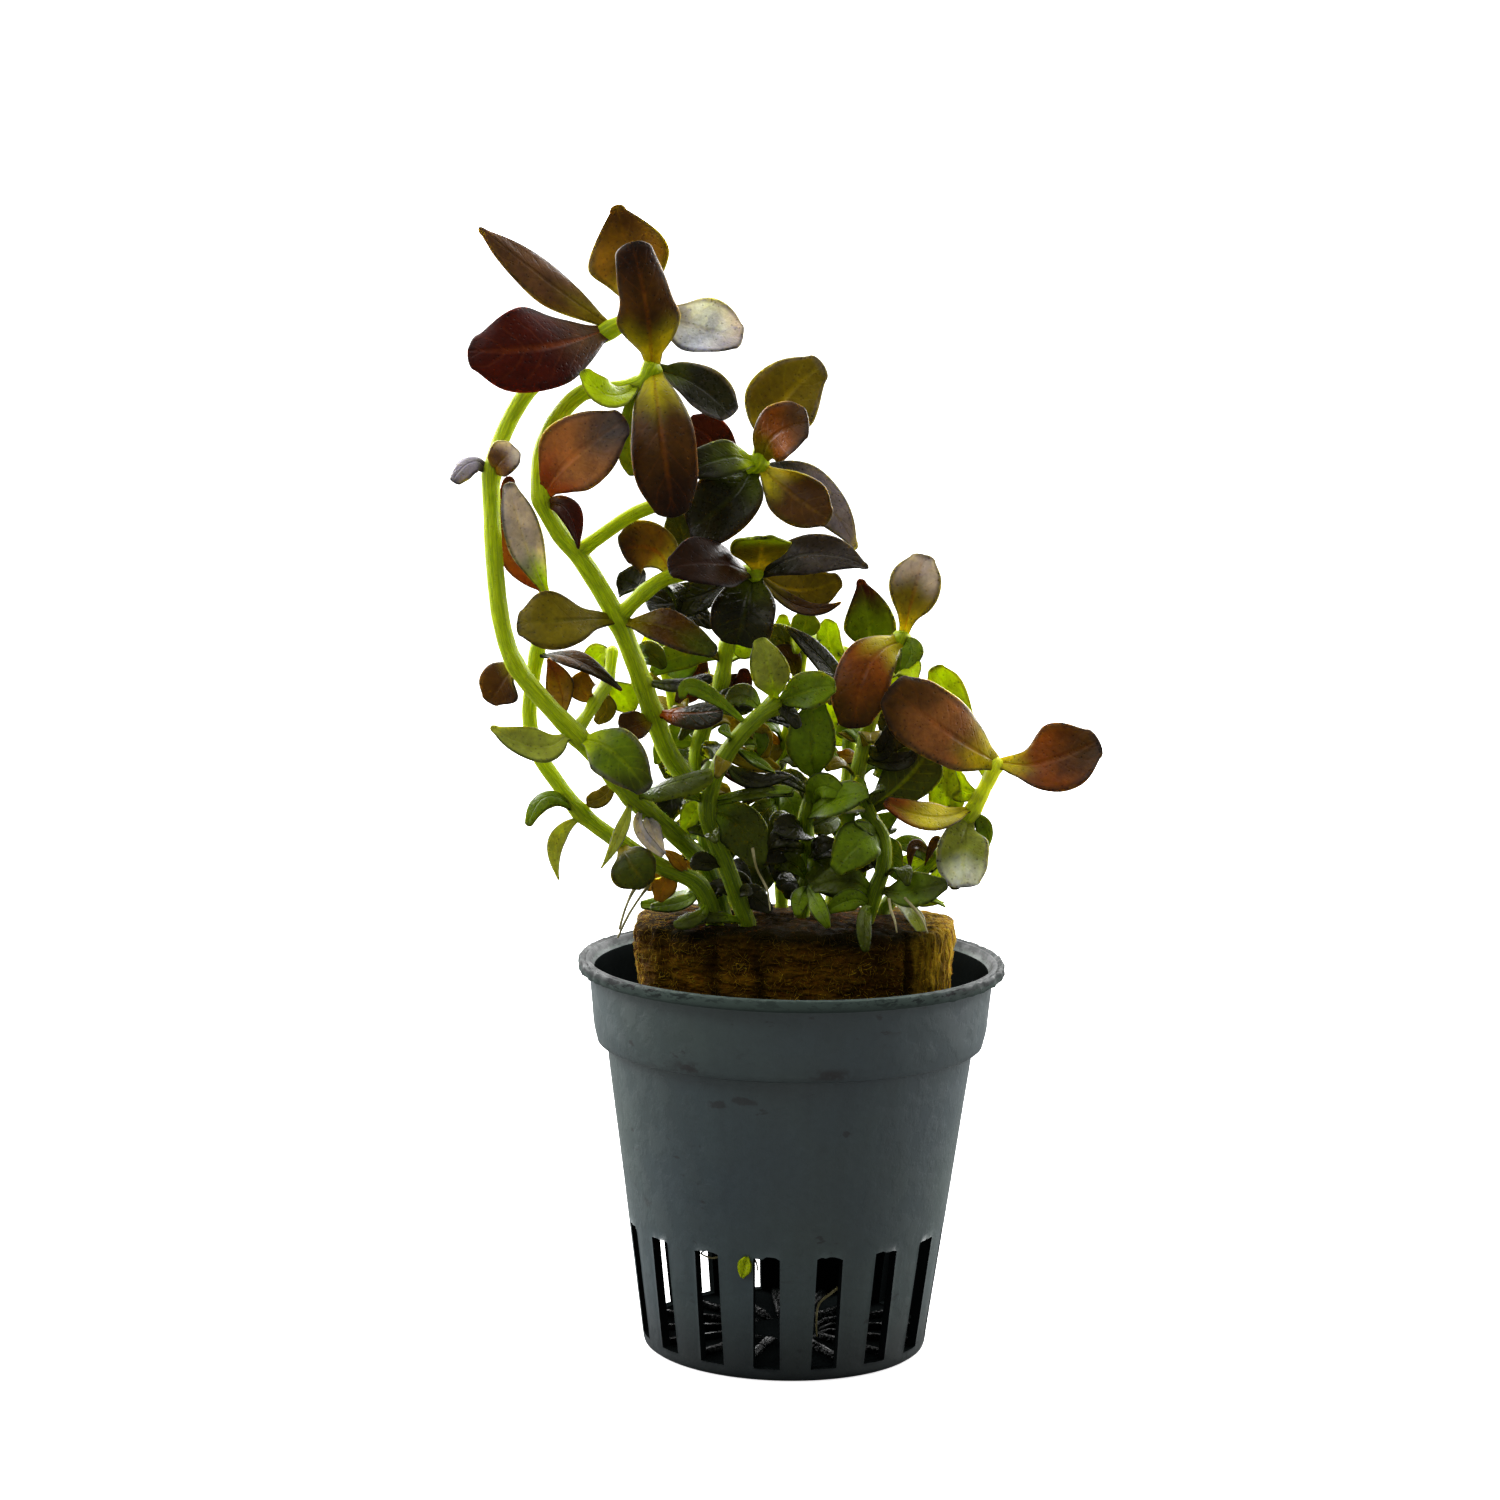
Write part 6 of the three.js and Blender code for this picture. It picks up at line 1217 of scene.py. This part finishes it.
stalk_parts = []
small_leaves = LEAFLETS + SMALL + inner_pairs()
for row in STEMS:
    name = row[0]
    stalk_parts.append(part_of(stalk_mesh(row)))
    parts = [stalk_parts[-1]]
    for number, leaflet in enumerate(small_leaves):
        if leaflet[0] == name:
            spot, radius, _ = leaving(*leaflet[:2])
            wet = leaflet[-1].split()[1] in ('ink', 'moss')
            part = leaf_part(name + str(number), spot, radius * 0.9, leaflet, THIN, 0.9 if wet else 0.35)
            part['material'] = 2 if wet else 1
            parts.append(part)
    place_piece(joined(name + '_grown', parts, ['stem', 'leaf', 'leaf_wet']), 'stem_green', name)

skin = joined('all_stalks', stalk_parts, ['stem'])
down = grown(skin, 'down', 'hair', Density=1.7e6, Length=0.00024, Width=0.000022, Seed=4)
place_piece(joined('stem_down', [part_of(down)], ['hair']), 'stem_green')


# Pot

def wall_at(height):
    """The radius of the wall's outside."""
    return FOOT + WALL_RISE * (height - 0.8)


def profile_out():
    wall = [[wall_at(z), z] for z in
            (0.8, 1.3, SLOT_LOW, 3.2, 5, 7, 9, 11, 13, 14.5, 15.6, SLOT_HIGH, 17.6, 19, 21, 24, 27, 30, 33,
             36, 38.2, 39.2)]
    foot = [[4, 0], [8, 0], [12, 0], [15, 0], [17.1, 0], [17.6, 0.1], [17.95, 0.35]]
    collar = [[23.35, 39.38], [23.7, 39.4], [24.3, 39.4], [24.48, 39.55], [24.65, 40.2], [24.85, 41],
              [25.02, 42], [25.15, 43.5], [25.3, 45], [25.5, 47], [25.62, 48.2], [25.75, 48.45],
              [26.1, 48.5], [26.5, 48.5], [26.85, 48.6], [27, 48.9], [27, 49.3], [26.96, 49.7],
              [26.85, 49.95], [26.6, 50], [26.4, 49.85], [26.3, 49.72], [26.15, 49.72],
              [26.05, 49.85], [25.9, 49.95]]
    return foot + wall + collar


def profile_in():
    """From the rim down to the floor, with the slots' rows at the same heights as outside."""
    collar = [[25.7, 49.93], [25.55, 49.8], [25.4, 49.4], [25.0, 48.8], [24.62, 48.4], [24.5, 47],
              [24.3, 45], [24.15, 43.5], [24.0, 42.6], [23.5, 41.8], [22.7, 41.2], [22.25, 40.4]]
    wall = [[wall_at(z) - WALL_THICK, z] for z in
            (39, 36, 33, 30, 27, 24, 21, 19, 17.6, SLOT_HIGH, 15.6, 14.5, 13, 11, 9, 7, 5, 3.2, SLOT_LOW)]
    floor = [[16.7, 1.5]] + [[radius, FLOOR_TOP] for radius in (16.2, 14, 11, 8, 4)]
    return collar + wall + floor


# The rows of the profile before the wall begins, and how near two heights count as the same
FIRST_WALL_ROW = 7
NEAR = 0.01
# The rim: the height above which it has its own plastic, and the radius past which its edge is worn
RIM_LOW = 48.4
RIM_EDGE = 26.2
# Which of the pot's materials a face has
OUTSIDE, INSIDE, RIM = range(3)
# Where the rim is worn: at which turn, how much, and how sharply it ends
WORN = [(-82, 1.0, 8), (78, 1.0, 8), (170, 0.7, 4)]


def pot_part():
    """The pot's closed wall as a grid of columns round the axis and rows along the profile."""
    in_slot, in_bar = 6, 8
    per_slot = in_slot + in_bar
    pitch = 360 / SLOTS
    outer, inner = profile_out(), profile_in()
    rows = outer + inner
    turn_of = len(outer)
    columns = SLOTS * per_slot
    places, index = [], {}

    def angle_of(column, height):
        slot, step = divmod(column, per_slot)
        centre = FIRST_SLOT + slot * pitch
        level = wall_at(min(max(height, SLOT_LOW), SLOT_HIGH))
        half = math.degrees(math.asin(SLOT_HALF / level))
        if step <= in_slot:
            return centre - half + 2 * half * step / in_slot
        return centre + half + (pitch - 2 * half) * (step - in_slot) / in_bar

    for r, (radius, height) in enumerate(rows):
        for c in range(columns):
            degrees = angle_of(c, height)
            turn = math.radians(degrees)
            z = height
            ragged = noise.noise(Vector((degrees * 0.27, 3.1, 0.0)))
            ragged += 0.4 * noise.noise(Vector((degrees * 0.9, 7.1, 0.0)))
            if c % per_slot <= in_slot and abs(height - SLOT_HIGH) < NEAR:
                across = 2 * (c % per_slot) / in_slot - 1
                z += -0.14 * abs(across) ** 3 + 0.45 * ragged
            if c % per_slot <= in_slot and abs(height - SLOT_LOW) < NEAR:
                z += 0.12 * ragged
            swell = 0.07 * noise.noise(Vector((math.sin(turn) * 1.4, math.cos(turn) * 1.4, height * 0.07)))
            if radius > RIM_EDGE:
                edge = noise.noise(Vector((degrees * 0.16, height * 0.4, 9.0)))
                z += 0.1 * noise.noise(Vector((degrees * 0.9, radius * 3, 4.0))) * (height > 49.5)
                rough = sum(most * max(0.0, math.cos(turn - math.radians(worn))) ** power
                            for worn, most, power in WORN)
                chips = noise.noise(Vector((degrees * 0.55, height * 0.9, 2.0)))
                swell += 0.06 * edge + 0.55 * rough * max(-0.3, chips)
                z += 0.4 * rough * noise.noise(Vector((degrees * 0.7, 1.0, 5.0)))
            reach = radius + swell * min(1, radius / 10)
            index[r, c] = len(places)
            places.append((reach * math.sin(turn), -reach * math.cos(turn), z))
    low = len(places)
    places += [(0, 0, 0), (0, 0, FLOOR_TOP)]

    def open_cell(r, c):
        a, b = rows[r][1], rows[r + 1][1]
        within = min(a, b) >= SLOT_LOW - NEAR and max(a, b) <= SLOT_HIGH + NEAR
        on_wall = FIRST_WALL_ROW <= r < turn_of - 1 or r >= turn_of
        return c % per_slot < in_slot and within and on_wall

    faces, kinds = [], []
    for r in range(len(rows) - 1):
        for c in range(columns):
            if not open_cell(r, c):
                n = (c + 1) % columns
                faces.append((index[r, c], index[r, n], index[r + 1, n], index[r + 1, c]))
                above = rows[r][1] > RIM_LOW and rows[r + 1][1] > RIM_LOW
                kinds.append(RIM if above else OUTSIDE if r < turn_of + 2 else INSIDE)
    for c in range(columns):
        n = (c + 1) % columns
        last = len(rows) - 1
        faces += [(index[0, n], index[0, c], low), (index[last, c], index[last, n], low + 1)]
        kinds += [OUTSIDE, INSIDE]
    level = {}
    for r, (_, height) in enumerate(rows):
        if SLOT_LOW - NEAR <= height <= SLOT_HIGH + NEAR and r >= FIRST_WALL_ROW:
            level.setdefault(round(height, 2), []).append(r)
    heights = sorted(h for h, both in level.items() if len(both) == 2)
    for slot in range(SLOTS):
        left = slot * per_slot
        right = left + in_slot
        for a, b in zip(heights, heights[1:]):
            (oa, ia), (ob, ib) = level[a], level[b]
            faces.append((index[oa, left], index[ob, left], index[ib, left], index[ia, left]))
            faces.append((index[ob, right], index[oa, right], index[ia, right], index[ib, right]))
            kinds += [INSIDE, INSIDE]
        for step in range(in_slot):
            c, n = left + step, left + step + 1
            for h, flip in ((heights[0], False), (heights[-1], True)):
                o, i = level[h]
                face = (index[o, c], index[i, c], index[i, n], index[o, n])
                faces.append(face[::-1] if flip else face)
                kinds.append(OUTSIDE if flip else INSIDE)
    return np.array(places) * MM, faces, kinds


pot_places, pot_faces, pot_kinds = pot_part()
pot_mesh = bpy.data.meshes.new('pot_moulding')
pot_mesh.from_pydata(pot_places.tolist(), [], pot_faces)
for key in ('pot', 'pot_inside', 'pot_rim'):
    pot_mesh.materials.append(MATERIALS[key])
pot_mesh.polygons.foreach_set('material_index', pot_kinds)
pot_mesh.polygons.foreach_set('use_smooth', [True] * len(pot_faces))
pot_piece = bpy.data.objects.new('pot_moulding', pot_mesh)
scene.collection.objects.link(pot_piece)
bevel = pot_piece.modifiers.new('soft_edges', 'BEVEL')
bevel.width = 0.00012
bevel.segments = 2
bevel.limit_method = 'ANGLE'
bevel.angle_limit = math.radians(50)
view = bpy.context.evaluated_depsgraph_get()
softened = bpy.data.meshes.new_from_object(pot_piece.evaluated_get(view))
pot_piece.modifiers.remove(bevel)
pot_piece.data = softened
place_piece(pot_piece, 'pot_plastic', 'pot')


def ring_faces(rings, count):
    """The faces between rings of count corners that follow one another."""
    return [(i * count + j, i * count + k, (i + 1) * count + k, (i + 1) * count + j)
            for i in range(rings - 1) for j in range(count) for k in [(j + 1) % count]]


def rib_source():
    """One low rib on the floor, from near the middle to the wall, rounded on top."""
    rings = []
    for reach in np.linspace(4.5, 17.1, 9):
        half = 0.6 + 0.05 * math.sin(reach * 2)
        tall = 0.7 * smooth(4.3, 5.5, reach)
        section = [(-half, -0.3), (-half, 0.5 * tall), (-0.6 * half, tall), (0.6 * half, tall),
                   (half, 0.5 * tall), (half, -0.3)]
        rings.append([(x, -reach, FLOOR_TOP + z) for x, z in section])
    count = len(rings[0])
    places = [p for ring in rings for p in ring]
    faces = ring_faces(len(rings), count)
    faces += [tuple(range(count))[::-1], tuple(range(len(places) - count, len(places)))]
    part = facing_out({'places': np.array(places) * MM, 'faces': faces})
    return plain_object('floor_rib', part['places'], part['faces'])


ribs = grown(rib_source(), 'round', 'pot_floor', Count=SLOTS,
             First_Turn=math.radians(FIRST_SLOT + 180 / SLOTS))
place_piece(joined('floor_ribs', [part_of(ribs)], ['pot_floor']), 'pot_plastic')


# Plug

def plug_outline(degrees, half):
    angle = math.radians(degrees)
    folds = 0.2 * math.sin(5 * angle + 1) + 0.15 * math.sin(9 * angle)
    past = (degrees - PLUG_SEAM) % 360
    power = 2 / PLUG_SQUARE
    across = math.copysign(abs(math.sin(angle)) ** power, math.sin(angle))
    towards = math.copysign(abs(math.cos(angle)) ** power, math.cos(angle))
    reach = half + folds - 0.5 * past / 360
    return reach * across, -reach * PLUG_DEPTH * towards


def plug_part():
    levels = [(PLUG_LOW, 1.6), (PLUG_LOW + 0.5, 0.8), (PLUG_LOW + 1.6, 0)]
    levels += [(z, 0) for z in np.linspace(PLUG_LOW + 3, 40, 16)]
    levels += [(z, 0) for z in np.linspace(40.6, 53.2, 30)]
    levels += [(53.8, 0.0), (54.3, 0.05), (54.8, 0.2), (55.15, 0.45), (55.4, 0.9), (55.5, 2.0)]
    levels += [(55.55, d) for d in (4, 5.5, 7, 8.5, 10, 11.5, 13, 14.5, 16, 17.5, 19)]
    around = PLUG_COLUMNS
    places = []
    for height, drawn in levels:
        half = PLUG_HALF_LOW + (PLUG_HALF - PLUG_HALF_LOW) * (height - PLUG_LOW) / (PLUG_TOP - PLUG_LOW)
        for step in range(around):
            degrees = PLUG_SEAM + (step + 0.01) * 360 / around
            x, y = plug_outline(degrees, half)
            shrink = 1 - drawn / half
            x, y = x * shrink, y * shrink
            out = Vector((x, y / PLUG_DEPTH ** 2, 0)).normalized()
            spot = Vector((x, y, height))
            fold = -0.75 * math.exp(-((x + 9.4 + 0.05 * (height - 48)) / 0.7) ** 2)
            fold -= 0.7 * math.exp(-((x + 3.2 - 0.04 * (height - 48)) / 0.8) ** 2)
            fold += -0.9 * math.exp(-((x - 14.6) / 0.5) ** 2) + 0.25 * smooth(14.8, 16.5, x)
            fold += -0.4 * math.exp(-((x + 15.5) / 0.7) ** 2)
            if y > 0:
                fold = -0.5 * math.exp(-((x - 5) / 0.8) ** 2) - 0.5 * math.exp(-((x + 8) / 0.9) ** 2)
            lumps = 0.5 * noise.noise(spot * 0.22) + 0.32 * noise.noise(spot * 0.7)
            lumps += 0.2 * noise.noise(spot * 1.9) + 0.12 * noise.noise(spot * 4.5)
            side = 1 - smooth(1.0, 3.5, drawn)
            move = (fold + lumps - 0.15) * side
            drop = PLUG_BACK_DROP * max(0, y / (PLUG_HALF * PLUG_DEPTH)) if height > 52.4 else 0
            rise = (0.45 * noise.noise(spot * 0.45 + Vector((7, 0, 0)))
                    + 0.3 * noise.noise(spot * 1.6)) * smooth(52, 55, height)
            rise += 0.1 * noise.noise(spot * 4)
            places.append((x + out.x * move, y + out.y * move, height - drop + rise))
    faces = ring_faces(len(levels), around)
    last = len(places) - around
    places += [(0, 0, PLUG_LOW), (0, 0, PLUG_TOP)]
    for j in range(around):
        k = (j + 1) % around
        faces += [(k, j, len(places) - 2), (last + j, last + k, len(places) - 1)]
    return facing_out({'places': np.array(places) * MM, 'faces': faces, 'material': 0})


# Fibres stand on the plug from this height up, in metres
FIBRES_FROM = 0.041
plug = plug_part()
place_piece(joined('rockwool_block', [plug], ['rockwool']), 'rockwool', 'rockwool_plug')
upper = dict(plug)
upper['faces'] = [f for f in plug['faces'] if min(plug['places'][i][2] for i in f) > FIBRES_FROM]
skin = joined('plug_skin', [upper], ['rockwool'])
fibres = grown(skin, 'fibres', 'fibre', Density=3.3e6, Length=0.001, Lift=0.22, Seed=11)
place_piece(joined('rockwool_fibres', [part_of(fibres)], ['fibre']), 'rockwool')


# Roots: thin tubes along given paths. Each has its radius, and its places as across, up and back
ROOT_ROWS = '''
0.27, -19.2 59.6 -9, -20.3 58 -9.6, -21.2 55.8 -10.4, -21.9 53.2 -11;
0.25, -17.6 59.8 -8, -19.2 57.6 -9, -20.8 55.0 -10.2, -22.1 52.1 -10.8;
0.2, -5.2 64 -10.4, -4.6 61.4 -11.4, -3.2 58.6 -12, -2.8 56 -12.6;
0.2, 12.2 57.8 -10, 12.5 56.3 -12, 13 55 -13.6, 13.3 53.5 -14.4;
0.2, 14.2 58 -10, 15.3 56.8 -11.2, 16.4 55.4 -12.4, 17.2 53.5 -13.2;
0.2, -7.2 17.4 -8, -7.9 14.6 -9.5, -9.5 12.2 -13, -10.8 11.1 -16.2, -9.5 10.6 -16.6, -8.2 10.7 -16.8,
  -7.9 9.6 -16.8;
0.16, -6 17.4 -8, -5.7 14.3 -10, -4.9 11.7 -13, -3.8 10.2 -16.3, -3.5 8.9 -16.5;
0.16, -1.6 17.4 -8, -1.4 14.2 -10, -0.9 11.3 -14, -0.3 10.0 -16.6, -0.6 8.5 -16.8;
0.22, 7.6 17.4 -8, 8.1 14.6 -9, 8.5 11.2 -13, 7.9 8.0 -16.4, 6.0 6.3 -16.7, 4.4 4.8 -16.8,
  4.1 2.4 -16.6, 4.2 0.5 -16.2
'''


def root_mesh(number, radius, points):
    line, length = evenly(path_through([seen(p) for p in points]), 0.3)
    share = length / length[-1]
    widths = radius * (1 - 0.5 * share) * (1 + 0.15 * np.sin(9 * share + number))
    edges = [(i, i + 1) for i in range(len(line) - 1)]
    source = plain_object(f'root_line_{number}', line * MM, edges=edges, radius=widths * MM)
    return grown(source, 'tube', 'root', Sides=8, Grooves=2.0, Groove_Depth=0.00001)


root_parts = [part_of(root_mesh(number, float(radius), [numbers(words) for words in places]))
              for number, ((radius,), *places) in enumerate(rows_of(ROOT_ROWS))]
place_piece(joined('fine_roots', root_parts, ['root']), 'stem_green')

# A bit of leaf caught on a bar of the pot
scrap_row = [None, None, appears_at(-5.05, -19.65, 15.1), appears_at(-4.75, -19.75, 16.5),
             1.9, 'oval', [-0.26, -0.95, 0.15], 0.08, 'lime lime lime leaf lime']
scrap = leaf_part('scrap', np.array([-5.3, -19.2, 13.7]), 0.0, scrap_row, 0.25, 0.3)
place_piece(joined('leaf_scrap', [scrap], ['leaf']), 'leaf_lime')


# The stage: a pale floor, even light from all round that is strongest behind, and five soft lamps

def floor():
    material, here = start_material('pale_floor', 0.0)
    tree = here.tree
    shader = tree.nodes['Principled BSDF']
    shader.inputs['Roughness'].default_value = 0.9
    shader.inputs['Emission Color'].default_value = (1, 1, 1, 1)
    watched = put(tree, 'ShaderNodeLightPath', None, 'Is Camera Ray')
    tone = watched.line(0.12, 0.92)
    tree.links.new(tone.socket, shader.inputs['Base Color'])
    tree.links.new((watched * 0.8).socket, shader.inputs['Emission Strength'])
    corners = [(-20, -3, 0), (20, -3, 0), (20, 40, 0), (-20, 40, 0)]
    obj = plain_object('pale_floor', corners, [(0, 1, 2, 3)])
    obj.data.materials.append(material)


def light_tent():
    world = bpy.data.worlds.new('light_tent')
    scene.world = world
    world.use_nodes = True
    tree = world.node_tree
    _, back, _ = put(tree, 'ShaderNodeTexCoord', None, 'Generated').axes()
    shade = tree.nodes['Background']
    tree.links.new(back.ramp(-0.1, 0.85, 0.26, 5.0).socket, shade.inputs['Strength'])
    shade.inputs['Color'].default_value = (1, 1, 1, 1)


def lamp(name, place, target, size, power):
    data = bpy.data.lights.new(name, 'AREA')
    data.energy = power
    data.size = size
    obj = bpy.data.objects.new(name, data)
    obj.location = place
    obj.rotation_euler = (Vector(target) - Vector(place)).to_track_quat('-Z', 'Y').to_euler()
    obj.visible_camera = False
    scene.collection.objects.link(obj)


def camera():
    data = bpy.data.cameras.new('camera')
    data.lens = 87.6
    data.sensor_width = 36
    obj = bpy.data.objects.new('camera', data)
    obj.location = (0, -EYE_DISTANCE * MM, EYE_HEIGHT * MM)
    data.shift_x = -0.0303
    tilt = Matrix.Rotation(math.radians(90 - 7.93), 4, 'X')
    obj.rotation_euler = (tilt @ Matrix.Rotation(math.radians(1.1), 4, 'Z')).to_euler()
    scene.collection.objects.link(obj)
    scene.camera = obj


floor()
light_tent()
lamp('top_left_front', (-0.3, -0.25, 0.5), (0, 0, 0.09), 0.2, 1.1)
lamp('behind_right', (0.4, 0.5, 0.35), (0, 0, 0.08), 0.35, 5.0)
lamp('behind_left', (-0.45, 0.45, 0.3), (0, 0, 0.08), 0.35, 5.0)
lamp('left_side', (-0.6, 0.16, 0.1), (0, 0, 0.03), 0.4, 1.3)
lamp('right_side', (0.6, 0.16, 0.1), (0, 0, 0.03), 0.4, 1.6)
camera()
scene.view_settings.view_transform = 'Standard'
